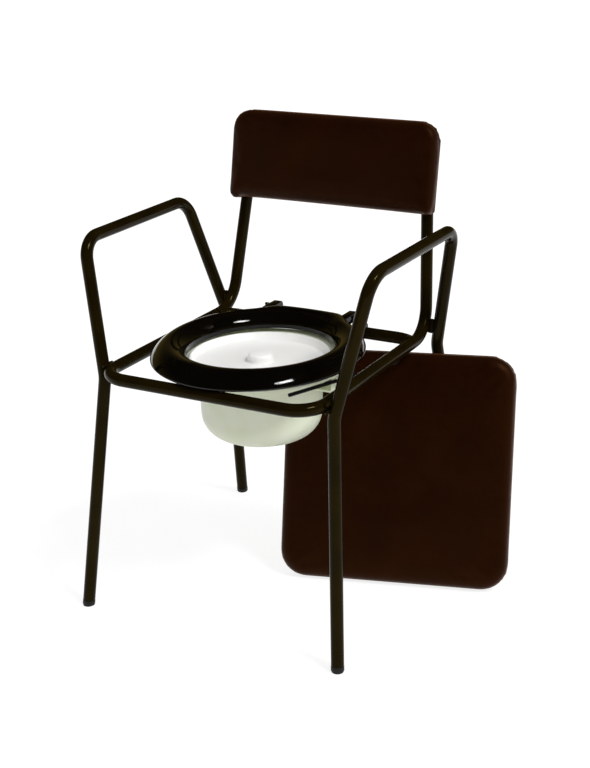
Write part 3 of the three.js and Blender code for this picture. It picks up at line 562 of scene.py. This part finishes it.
# A profile of (radius, height) pairs in mm, turned about the axis that leaves origin along direction.
def turnedPiece(name, profile, origin, direction, material, body, stands, onFloor=False, bevel=0.6):
    bm = bmesh.new()
    spinProfile(bm, profile, Vector(), tube["sides"])
    place = Matrix.Translation(at(*origin)) @ turnFrom(Vector(direction))
    bmesh.ops.transform(bm, verts=bm.verts, matrix=place)
    if onFloor:
        trimmed(bm, (0, 0, 0), (0, 0, 1), clear_inner=True)
    finishPiece(name, bm, material, body, stands, bevel=bevel)


# Moulded plugs: glides in the leg ends, cut level by the floor, and domed caps in the uprights.
plug = {"rim": 11.1, "glideHeight": 10, "below": 8, "sole": 1.2, "chamfer": 2.2, "room": 0.3, "stem": 9.3,
        "stemLength": 18, "capStem": 14, "flange": 2.5, "dome": 3.5,
        "domeLine": ((1, 0), (0.93, 0.42), (0.75, 0.72), (0.45, 0.93), (0, 1))}


def glide(side, end):
    footY = tube["frontFootY"] if end == "front" else tube["rearFootY"]
    kinkY = -tube["kinkY"] if end == "front" else tube["kinkY"]
    foot = Vector((side * tube["footX"], footY, 0))
    up = (Vector((side * tube["kinkX"], kinkY, tube["kinkHeight"])) - foot).normalized()
    rim, stem, head = plug["rim"], plug["stem"], plug["glideHeight"] - plug["room"]
    low, sole, top = -plug["below"], rim - plug["sole"], head + plug["stemLength"]
    profile = [(0, low), (sole, low), (sole, 0), (rim, plug["chamfer"]), (rim, head), (stem, head),
               (stem, top), (0, top)]
    turnedPiece("glide" + end.capitalize() + sideName(side), profile, foot, up, plugBlack, "frame",
                ["glide_" + end + "_" + sideName(side).lower()], onFloor=True)


def uprightPlug(side):
    top, base = Vector(uprightTop(side)), Vector(uprightBase(side))
    rim, stem, low, room = plug["rim"], plug["stem"], -plug["capStem"], plug["room"]
    profile = [(0, low), (stem, low), (stem, room), (rim, room)]
    profile += [(rim * across, plug["flange"] + plug["dome"] * up) for across, up in plug["domeLine"]]
    turnedPiece("uprightPlug" + sideName(side), profile, top, top - base, plugBlack, "frame",
                ["upright_plug_" + sideName(side).lower()])


both(panRod)
both(frontWelds)
both(rearWeld)
both(rearRailWeld)
both(rodWeld)
for end in ("front", "rear"):
    both(lambda side: glide(side, end))
both(uprightPlug)
print("rods, welds and plugs made")


# Screws: a pan head with a cross pressed into it, on a plain shank.
screw = {"head": 5.0, "headHeight": 3.0, "side": 0.45, "dome": ((0.16, 0.3), (0.26, 0.2), (0.06, 0.05)),
         "shank": 2.4, "crossEdge": 0.02, "crossWaist": 0.42, "crossDepth": 1.7, "proud": 0.3}


def crossScrew(name, place, direction, length, body, stands):
    bm = bmesh.new()
    head, height = screw["head"] / 1000, screw["headHeight"] / 1000
    made = bmesh.ops.create_circle(bm, cap_ends=True, segments=24, radius=head)
    sole = made["verts"][0].link_faces[0]
    raised = bmesh.ops.extrude_face_region(bm, geom=[sole])
    bmesh.ops.translate(bm, verts=newVerts(raised), vec=(0, 0, height * screw["side"]))
    top = next(g for g in raised["geom"] if isinstance(g, bmesh.types.BMFace))
    bmesh.ops.inset_region(bm, faces=[sole], thickness=head - screw["shank"] / 1000)
    shank = bmesh.ops.extrude_face_region(bm, geom=[sole])
    bmesh.ops.translate(bm, verts=newVerts(shank), vec=(0, 0, -length / 1000))
    bmesh.ops.delete(bm, geom=[sole], context="FACES_ONLY")
    for share, lift in screw["dome"]:
        bmesh.ops.inset_region(bm, faces=[top], thickness=head * share)
        bmesh.ops.translate(bm, verts=top.verts, vec=(0, 0, height * lift))
    bmesh.ops.inset_region(bm, faces=[top], thickness=head * screw["crossEdge"])
    for i, vert in enumerate(top.verts):  # two of every six points stay out, so that the recess is a cross
        if i % 6 > 1:
            vert.co.x *= screw["crossWaist"]
            vert.co.y *= screw["crossWaist"]
    recess = bmesh.ops.extrude_face_region(bm, geom=[top])
    bmesh.ops.translate(bm, verts=newVerts(recess), vec=(0, 0, -screw["crossDepth"] / 1000))
    bmesh.ops.delete(bm, geom=[top], context="FACES_ONLY")
    bmesh.ops.transform(bm, verts=bm.verts, matrix=Matrix.Translation(at(*place)) @ turnFrom(direction))
    finishPiece(name, bm, zinc, body, stands, sharp=30)


# Backrest and cushion share their upholstery: the same rolled edge and shallow crown over foam on a board.
# Fullness is how far the pad stands out past its cover's size, droop how far one lower corner sags.
backrest = {"width": 411, "height": 161, "depth": 30, "crown": 5, "topRadius": 36, "bottomRadius": 9,
            "roll": 13, "fullness": 0.6, "droop": 4.5,
            "rise": 18.6, "standOff": 12.9, "screwDrops": (20.4, 110.4), "screwLength": 28}
cushion = {"width": 412, "height": 416, "depth": 31, "crown": 7, "topRadius": 46, "bottomRadius": 46,
           "roll": 18, "fullness": 3.4, "droop": 0,
           "footX": 0.5, "footY": 4.5, "forward": 1.5, "heading": 16.55, "lean": 16.4415}
padding = {"waist": 1.6, "overlap": 1.2, "rollShares": (0.38, 0.71, 0.92, 1.0), "leastRound": 0.25,
           "voxel": 5, "crownPower": 2.6, "crownEase": 1.15, "sagX": 11, "sagWide": 14, "sagHigh": 30,
           "turnedIn": 14, "pocketFrom": 20, "pocketReach": 28.5}
lean = math.atan(tube["lean"])
topPlace = Vector(uprightTop(1))
backMiddle = Vector((0, -backrest["standOff"], backrest["rise"] - backrest["height"] / 2)) / 1000
backPlace = (Matrix.Translation(at(0, topPlace.y, topPlace.z)) @ Matrix.Rotation(-lean, 4, "X")
             @ Matrix.Translation(backMiddle))
cushionMiddle = Vector((cushion["width"] / 2, -cushion["forward"], cushion["height"] / 2)) / 1000
cushionPlace = (Matrix.Translation(at(cushion["footX"], cushion["footY"], 0))
                @ Matrix.Rotation(math.radians(cushion["heading"]), 4, "Z")
                @ Matrix.Rotation(-math.radians(cushion["lean"]), 4, "X")
                @ Matrix.Translation(cushionMiddle))


# The pad's outline seen from its face, moved in by inset.
def padOutline(pad, inset, steps=8):
    points = []
    corners = ((1, 1, "topRadius"), (-1, 1, "topRadius"), (-1, -1, "bottomRadius"), (1, -1, "bottomRadius"))
    for quarter, (signX, signZ, which) in enumerate(corners):
        rounded = max(pad[which] - inset, pad[which] * padding["leastRound"])
        for i in range(steps + 1):
            angle = (quarter + i / steps) * math.pi / 2
            points.append((signX * (pad["width"] / 2 - inset - rounded) + rounded * math.cos(angle),
                           signZ * (pad["height"] / 2 - inset - rounded) + rounded * math.sin(angle)))
    return points


# A closed pad in its own place: its back just past y 0, its face towards -y, rolled over at the front edge.
def padForm(pad, inset):
    bm = bmesh.new()
    outline = padOutline(pad, inset)
    back = padding["overlap"] / 1000
    face = bm.faces.new([bm.verts.new((x / 1000, back, z / 1000)) for x, z in outline])
    side = (pad["depth"] - pad["roll"]) / 1000
    top = face
    for draw in (padding["waist"], -padding["waist"]):
        drawn = bmesh.ops.extrude_face_region(bm, geom=[top])
        if top is not face:
            bmesh.ops.delete(bm, geom=[top], context="FACES_ONLY")
        top = next(g for g in drawn["geom"] if isinstance(g, bmesh.types.BMFace))
        bmesh.ops.translate(bm, verts=top.verts, vec=(0, -side / 2, 0))
        middleOf = top.calc_center_median()
        for vert in top.verts:  # the waist: the sides are drawn in between the board and the roll
            offset = vert.co - middleOf
            vert.co -= Vector((offset.x, 0, offset.z)).normalized() * draw / 1000
    roll = pad["roll"] / 1000
    before = (0.0, 0.0)
    for share in padding["rollShares"]:
        inward = 1 - math.sqrt(max(0.0, 1 - share * share))
        bmesh.ops.inset_region(bm, faces=[top], thickness=max(1e-5, (inward - before[0]) * roll))
        bmesh.ops.translate(bm, verts=top.verts, vec=(0, -(share - before[1]) * roll, 0))
        before = (inward, share)
    return bm


def makePad(pad, name, place, body, stands):
    bm = padForm(pad, -pad["fullness"])
    bmesh.ops.recalc_face_normals(bm, faces=bm.faces)
    mesh = bpy.data.meshes.new(name)
    bm.to_mesh(mesh)
    bm.free()
    piece = bpy.data.objects.new(name, mesh)
    bpy.context.scene.collection.objects.link(piece)
    remesh = piece.modifiers.new("remesh", "REMESH")
    remesh.mode = "VOXEL"
    remesh.voxel_size = padding["voxel"] / 1000
    applyModifiers(piece)
    crownPad(piece, pad)
    droopCorner(piece, pad)
    puffUp(piece)
    smooth = piece.modifiers.new("smooth", "SUBSURF")
    smooth.levels = smooth.render_levels = 1
    applyModifiers(piece)
    pocket(piece, pad)
    mesh = piece.data
    mesh.transform(place)
    for vert in mesh.vertices:  # the cushion's lower edge is pressed flat where it stands on the floor
        vert.co.z = max(vert.co.z, 0.0)
    mesh.shade_smooth()
    mesh.set_sharp_from_angle(angle=math.radians(50))
    mesh.materials.clear()
    mesh.materials.append(vinylBrown)
    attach(piece, body)
    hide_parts(*stands)


def applyModifiers(piece):
    graph = bpy.context.evaluated_depsgraph_get()
    graph.update()
    made = bpy.data.meshes.new_from_object(piece.evaluated_get(graph))
    piece.modifiers.clear()
    piece.data = made


# The face swells to its crown, and the crown is eased in from the rolled edge.
def crownPad(piece, pad):
    halfWidth, halfHeight = pad["width"] / 2000, pad["height"] / 2000
    front = -(pad["depth"] - pad["roll"]) / 1000
    for vert in piece.data.vertices:
        if vert.co.y > front:
            continue
        inX = max(0.0, 1 - (abs(vert.co.x) / halfWidth) ** padding["crownPower"])
        inZ = max(0.0, 1 - (abs(vert.co.z) / halfHeight) ** padding["crownPower"])
        vert.co.y -= pad["crown"] / 1000 * min(1.0, inX * inZ * padding["crownEase"])
    piece.data.update()


# The cover sags below its line at one lower corner.
def droopCorner(piece, pad):
    for vert in piece.data.vertices:
        across = (vert.co.x * 1000 + pad["width"] / 2 - padding["sagX"]) / padding["sagWide"]
        up = (vert.co.z * 1000 + pad["height"] / 2) / padding["sagHigh"]
        near = max(0.0, 1 - math.hypot(across, up))
        vert.co.z -= pad["droop"] / 1000 * near * near * (3 - 2 * near)
    piece.data.update()


# A short cloth simulation under pressure rounds the pad; its back is held to the board.
puff = {"pressure": 4.0, "frames": 20, "most": 1.2, "heldDepth": 4, "quality": 5, "mass": 0.3,
        "stiffness": 40, "bending": 2}


def puffUp(piece):
    rest = [vert.co.copy() for vert in piece.data.vertices]
    held = piece.vertex_groups.new(name="stapled")
    for vert in piece.data.vertices:
        if vert.co.y > -puff["heldDepth"] / 1000:
            held.add([vert.index], 1.0, "REPLACE")
    cloth = piece.modifiers.new("cloth", "CLOTH")
    cloth.settings.vertex_group_mass = "stapled"
    cloth.settings.use_pressure = True
    cloth.settings.uniform_pressure_force = puff["pressure"]
    cloth.settings.quality = puff["quality"]
    cloth.settings.mass = puff["mass"]
    cloth.settings.tension_stiffness = puff["stiffness"]
    cloth.settings.compression_stiffness = puff["stiffness"]
    cloth.settings.bending_stiffness = puff["bending"]
    cloth.settings.effector_weights.gravity = 0
    cloth.point_cache.frame_start = 1
    cloth.point_cache.frame_end = puff["frames"]
    scene = bpy.context.scene
    for step in range(1, puff["frames"] + 1):
        scene.frame_set(step)
    graph = bpy.context.evaluated_depsgraph_get()
    swollen = piece.evaluated_get(graph).to_mesh()
    moved = [vert.co.copy() for vert in swollen.vertices]
    piece.evaluated_get(graph).to_mesh_clear()
    piece.modifiers.clear()
    scene.frame_set(1)
    most = puff["most"] / 1000
    for vert, start, end in zip(piece.data.vertices, rest, moved):
        shift = end - start
        if shift.length > most:
            shift *= most / shift.length
        vert.co = start + shift
    piece.data.update()
    furthest = max((a - b).length for a, b in zip(rest, moved)) * 1000
    print(piece.name, "swelled by up to", round(furthest, 1), "mm, kept to", puff["most"], "mm")


# The cover is turned in behind the board, which shows inside its edge.
def pocket(piece, pad):
    bm = bmesh.new()
    start, reach = padding["pocketFrom"] / 1000, padding["pocketReach"] / 1000
    outline = [(x / 1000, start, z / 1000) for x, z in padOutline(pad, padding["turnedIn"])]
    extrudeOutline(bm, outline, (0, -reach, 0))
    bmesh.ops.recalc_face_normals(bm, faces=bm.faces)
    mesh = bpy.data.meshes.new("cutter")
    bm.to_mesh(mesh)
    bm.free()
    cutter = bpy.data.objects.new("cutter", mesh)
    bpy.context.scene.collection.objects.link(cutter)
    cut = piece.modifiers.new("pocket", "BOOLEAN")
    cut.operation = "DIFFERENCE"
    cut.solver = "EXACT"
    cut.object = cutter
    applyModifiers(piece)
    bpy.data.objects.remove(cutter)


makePad(backrest, "backrestPad", backPlace, "frame", ["backrest_cover", "backrest_foam"])
makePad(cushion, "cushionPad", cushionPlace, "cushion", ["cushion_cover", "cushion_foam"])
print("pads made")

# Boards and battens keep the shapes of the solids and get their wood.
for name, wood in (("backrest_board", plywood), ("cushion_board", plywood),
                   ("cushion_batten_left", beech), ("cushion_batten_right", beech)):
    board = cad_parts[name]
    board.data.materials.clear()
    board.data.materials.append(wood)


def backScrews():
    slope = Vector((0, math.sin(lean), math.cos(lean)))
    out = Vector((0, math.cos(lean), -math.sin(lean)))
    number = 0
    for side in (-1, 1):
        for drop in backrest["screwDrops"]:
            number += 1
            share = drop * math.cos(lean) / (tube["topHeight"] - tube["railHeight"])
            x = side * (tube["topX"] + (tube["railX"] - tube["topX"]) * share)
            top = Vector((x, topPlace.y, topPlace.z))
            place = top - slope * drop + out * (tube["radius"] + screw["proud"])
            crossScrew("backrestScrew%d" % number, place, out, backrest["screwLength"], "frame",
                       ["backrest_screw_%d" % number])


backScrews()
print("backrest screws made")


# The toilet seat is a ring of one smooth section, wider and squared off at the rear, where its lugs are.
seat = {"halfWidth": 180.5, "centreY": -53.5, "front": 201.5, "rear": 194, "underside": 449.6,
        "thickness": 27, "openHalfWidth": 124, "openCentreY": -52, "openFront": 130, "openRear": 139,
        "squareY": 153, "squareFull": 60, "squareEnd": 106, "hingeY": 150, "hingeHeight": 465.5, "steps": 144}
lug = {"x": 70, "width": 16, "knuckle": 9, "reach": 44, "rise": 4, "heel": 8, "bevel": 1.8}
# The section is in shares of the ring's width, from the opening outwards, and of its thickness, upwards.
seatSection = [(0.012, -0.1), (0.0, -0.07), (0.003, 0.03), (0.01, 0.2), (0.035, 0.36), (0.09, 0.53),
               (0.17, 0.7), (0.27, 0.85), (0.38, 0.95), (0.5, 1.0), (0.64, 0.95), (0.78, 0.78),
               (0.9, 0.52), (0.975, 0.28), (1.0, 0.12), (0.95, 0.0)]


# A smooth curve through the points, with steps pieces between each two.
def smoothThrough(points, steps):
    points = [Vector(point) for point in points]
    ends = [2 * points[0] - points[1], *points, 2 * points[-1] - points[-2]]
    curve = []
    for a, b, c, d in zip(ends, ends[1:], ends[2:], ends[3:]):
        for i in range(steps):
            t = i / steps
            square, cube = 2 * a - 5 * b + 4 * c - d, 3 * b - a - 3 * c + d
            curve.append((2 * b + (c - a) * t + square * t ** 2 + cube * t ** 3) / 2)
    return curve + [points[-1]]


def smoothStep(low, high, value):
    share = min(1.0, max(0.0, (value - low) / (high - low)))
    return share * share * (3 - 2 * share)


# The points of the opening and of the outer edge at one angle, 0 to the right and 90 to the rear.
def seatPlan(angle):
    opening = seat["openFront"] if angle < 0 else seat["openRear"]
    inner = Vector((seat["openHalfWidth"] * math.cos(angle), seat["openCentreY"] + opening * math.sin(angle)))
    reach = seat["front"] if angle < 0 else seat["rear"]
    outer = Vector((seat["halfWidth"] * math.cos(angle), seat["centreY"] + reach * math.sin(angle)))
    if angle > 0:
        square = 1 - smoothStep(seat["squareFull"], seat["squareEnd"], abs(outer.x))
        outer.y += max(0.0, seat["squareY"] - outer.y) * square
    return inner, outer


# A plain ring, 2 to 3 across, is spun first and then drawn out to the seat's plan and thickness.
def seatRing(bm):
    section = smoothThrough(seatSection, 4)
    verts = [bm.verts.new((2 + across, 0, up)) for across, up in section]
    edges = [bm.edges.new(pair) for pair in zip(verts, verts[1:] + verts[:1])]
    before = set(bm.verts) - set(verts)
    bmesh.ops.spin(bm, geom=verts + edges, cent=(0, 0, 0), axis=(0, 0, 1), dvec=(0, 0, 0), angle=2 * math.pi,
                   steps=seat["steps"], use_merge=True, use_duplicate=False)
    for vert in set(bm.verts) - before:
        inner, outer = seatPlan(math.atan2(vert.co.y, vert.co.x))
        plan = inner.lerp(outer, vert.co.xy.length - 2)
        vert.co = at(plan.x, plan.y, seat["underside"] + seat["thickness"] * vert.co.z)


def seatLug(bm, side):
    y, z, radius = seat["hingeY"], seat["hingeHeight"], lug["knuckle"]
    front, low = y - lug["reach"], z - radius
    outline = [(front, low + lug["rise"]), (y - lug["heel"], low)]
    outline += arcPoints((y, z), radius, -90, 90, 15) + [(front, z + radius)]
    x = lug["x"] if side > 0 else -lug["x"] - lug["width"]
    extrudeOutline(bm, [at(x, a, b) for a, b in outline], Vector((lug["width"] / 1000, 0, 0)))
    edges = [edge for edge in bm.edges if edge.calc_face_angle(0) > math.radians(edgeBreak["angle"])]
    bmesh.ops.bevel(bm, geom=edges, offset=lug["bevel"] / 1000, segments=edgeBreak["segments"], profile=0.5,
                    affect="EDGES", material=-1, clamp_overlap=True)


def toiletSeat():
    bm = bmesh.new()
    seatLug(bm, -1)
    second = bmesh.new()  # on its own, so that the bevel leaves the first lug alone
    seatLug(second, 1)
    mesh = bpy.data.meshes.new("lug")
    second.to_mesh(mesh)
    second.free()
    bm.from_mesh(mesh)
    bpy.data.meshes.remove(mesh)
    seatRing(bm)
    finishPiece("toiletSeat", bm, seatBlack, "seat", ["toilet_seat"], sharp=50)


# Rubber buffers under the front of the ring, rounded below. The round is in mm inwards and upwards.
buffer = {"x": 40, "y": -240, "bottom": 448, "radius": 7, "height": 6,
          "round": ((1.4, 0), (0.4, 0.7), (0, 2.2))}


def seatBuffer(side):
    radius, height = buffer["radius"], buffer["height"]
    profile = [(0, 0)] + [(radius - inwards, up) for inwards, up in buffer["round"]]
    profile += [(radius, height), (0, height)]
    origin = (side * buffer["x"], buffer["y"], buffer["bottom"])
    turnedPiece("seatBuffer" + sideName(side), profile, origin, (0, 0, 1), rubberBlack, "seat",
                ["seat_buffer_" + sideName(side).lower()], bevel=0.4)


pin = {"start": 69.2, "length": 34.8, "radius": 3.0, "innerEdge": 0.6, "outerEdge": 0.9}


def hingePin(side):
    radius, length, near, far = (pin[k] for k in ("radius", "length", "innerEdge", "outerEdge"))
    profile = [(0, 0), (radius - near, 0), (radius, near), (radius, length - far), (radius - far, length),
               (0, length)]
    origin = (side * pin["start"], seat["hingeY"], seat["hingeHeight"])
    turnedPiece("hingePin" + sideName(side), profile, origin, (side, 0, 0), rodBlack, "frame",
                ["hinge_pin_" + sideName(side).lower()], bevel=0.2)


# A moulded saddle over the rear rail, its top sloping down and away from the lug.
saddle = {"inner": 86.8, "length": 17, "depth": 20, "flat": 5, "cap": 4.5, "lip": 2, "room": 0.3,
          "screwIn": 9, "screwLength": 28.5}


def hingeBlock(side):
    half, radius, inner = saddle["depth"] / 2, tube["radius"] + saddle["room"], saddle["inner"]
    y, railZ, top = seat["hingeY"], tube["railHeight"], seat["hingeHeight"] + saddle["cap"]
    start = math.degrees(math.acos(half / radius))
    outline = [(y - half, top), (y + half, top)] + arcPoints((y, railZ), radius, start, 180 - start, 12)
    bm = bmesh.new()
    points = [at(side * inner, a, b) for a, b in outline]
    extrudeOutline(bm, points, Vector((side * saddle["length"] / 1000, 0, 0)))
    drop = top - (railZ + tube["radius"] + saddle["lip"])
    run = saddle["length"] - saddle["flat"]
    trimmed(bm, at(side * (inner + saddle["flat"]), y, top), (side * drop, 0, run), clear_outer=True)
    finishPiece("hingeBlock" + sideName(side), bm, seatBlack, "frame",
                ["hinge_block_" + sideName(side).lower()], bevel=1.4)


def hingeScrew(side):
    below = tube["railHeight"] - tube["radius"] - screw["proud"]
    place = (side * (saddle["inner"] + saddle["screwIn"]), seat["hingeY"], below)
    crossScrew("hingeScrew" + sideName(side), place, Vector((0, 0, -1)), saddle["screwLength"], "frame",
               ["hinge_screw_" + sideName(side).lower()])


toiletSeat()
for make in (seatBuffer, hingePin, hingeBlock, hingeScrew):
    both(make)
print("toilet seat and hinges made")


# The pan is one moulding: a deep bowl, a wide rim that takes the lid, and an ear on each side over a rod.
# The lid lies in the rim like a soup plate: a raised edge, a sloping flange, a shallow floor and a knob.
pan = {"centreY": -51, "radius": 108, "wall": 3, "bottom": 301, "rise": 1.2, "corner": 43, "draft": 2.2,
       "rimTop": 439.8, "rim": 160, "lip": 5, "lipDraft": 0.4, "rimEdge": 1.6, "mouth": 120.6,
       "mouthOut": 2.6, "ledge": 114.2, "ledgeDrop": 10.5, "ledgeOut": 2, "ledgeUnder": 2.5, "neck": 9,
       "steps": 96, "bevel": 0.9}
ear = {"front": -60, "rear": -26, "lip": 425.5, "floor": 399, "sheet": 3.6, "wallX": 146.5, "lipX": 161,
       "draft": 3}
lid = {"edge": 123.3, "edgeBreak": 0.8, "top": 445, "seat": 440.1, "sheet": 2.2, "shoulder": 120.6,
       "bend": 1.2, "foot": 112.6, "drop": 12.8, "crown": 1.0, "knob": 21.5, "knobHeight": 14,
       "fillet": 4, "knobRound": 5.5}


def panBowl(bm):
    wall, bottom, corner, rim, top = (pan[k] for k in ("wall", "bottom", "corner", "rim", "rimTop"))
    centre = (pan["radius"] - pan["draft"] - corner, bottom + corner)
    ledge, lip, edge = top - pan["ledgeDrop"], top - pan["lip"], pan["rimEdge"]
    profile = [(0, bottom + pan["rise"]), (centre[0] * 0.6, bottom + pan["rise"] / 2)]
    profile += arcPoints(centre, corner, -90, 0, 14)
    profile += [(pan["radius"], ledge - pan["neck"]),
                (pan["ledge"] + pan["ledgeOut"], ledge - pan["ledgeUnder"]),
                (pan["mouth"] + pan["mouthOut"], top - wall), (rim - wall, top - wall),
                (rim - wall + pan["lipDraft"], lip), (rim, lip), (rim, top - edge), (rim - edge, top),
                (pan["mouth"], top), (pan["ledge"], ledge), (pan["radius"] - wall, ledge)]
    profile += arcPoints(centre, corner - wall, 0, -90, 14) + [(0, bottom + wall)]
    spinProfile(bm, profile, at(0, pan["centreY"], 0), pan["steps"])


def panEar(bm, side):
    wallX, lipX, draft, sheet = (ear[k] for k in ("wallX", "lipX", "draft", "sheet"))
    floor, lip = ear["floor"], ear["lip"]
    outline = [(0, floor), (wallX - draft, floor), (wallX, lip), (lipX, lip), (lipX, lip + sheet),
               (wallX - sheet, lip + sheet), (wallX - sheet - draft, floor + sheet), (0, floor + sheet)]
    root = earRoot(ear["rear"])
    face = bm.faces.new([bm.verts.new(at(side * max(x, root), ear["rear"], z)) for x, z in outline])
    drawn = bmesh.ops.extrude_face_region(bm, geom=[face])
    front = newVerts(drawn)
    bmesh.ops.translate(bm, verts=front, vec=(0, (ear["front"] - ear["rear"]) / 1000, 0))
    for vert in front:
        if abs(vert.co.x * 1000 + middle.x) < root + 1:
            vert.co.x = at(side * earRoot(ear["front"]), 0, 0).x


# The ear starts inside the bowl's wall, which curves away from it.
def earRoot(y):
    return math.sqrt((pan["radius"] - pan["wall"] / 2) ** 2 - (y - pan["centreY"]) ** 2)


def makePan():
    bm = bmesh.new()
    both(lambda side: panEar(bm, side))
    panBowl(bm)
    finishPiece("pan", bm, panWhite, "pan", ["pan"], bevel=pan["bevel"])


def makeLid():
    foot, shoulder, edge, crown, knob = (lid[k] for k in ("foot", "shoulder", "edge", "crown", "knob"))
    top, sheet, bend, fillet, rounded = (lid[k] for k in ("top", "sheet", "bend", "fillet", "knobRound"))
    floor, rim = top - lid["drop"], lid["edgeBreak"]
    under, knobTop = floor - sheet, floor + crown + lid["knobHeight"]
    profile = [(0, under + crown), (foot * 0.6, under + crown * 0.6), (foot - 1, under),
               (foot + 2, under + bend), (shoulder + 0.6, lid["seat"]), (edge, lid["seat"]),
               (edge, top - rim), (edge - rim, top), (shoulder - 1, top), (foot + bend, floor + 1),
               (foot - bend, floor), (foot * 0.6, floor + crown * 0.6), (knob + fillet, floor + crown)]
    profile += arcPoints((knob + fillet, floor + crown + fillet), fillet, 270, 180, 4)[1:]
    profile += arcPoints((knob - rounded, knobTop - rounded), rounded, 0, 90, 6)
    profile += [(knob * 0.4, knobTop + 0.8), (0, knobTop + 1)]
    bm = bmesh.new()
    spinProfile(bm, profile, at(0, pan["centreY"], 0), pan["steps"])
    finishPiece("panLid", bm, lidWhite, "lid", ["pan_lid"], sharp=50)


makePan()
makeLid()
print("pan and lid made")
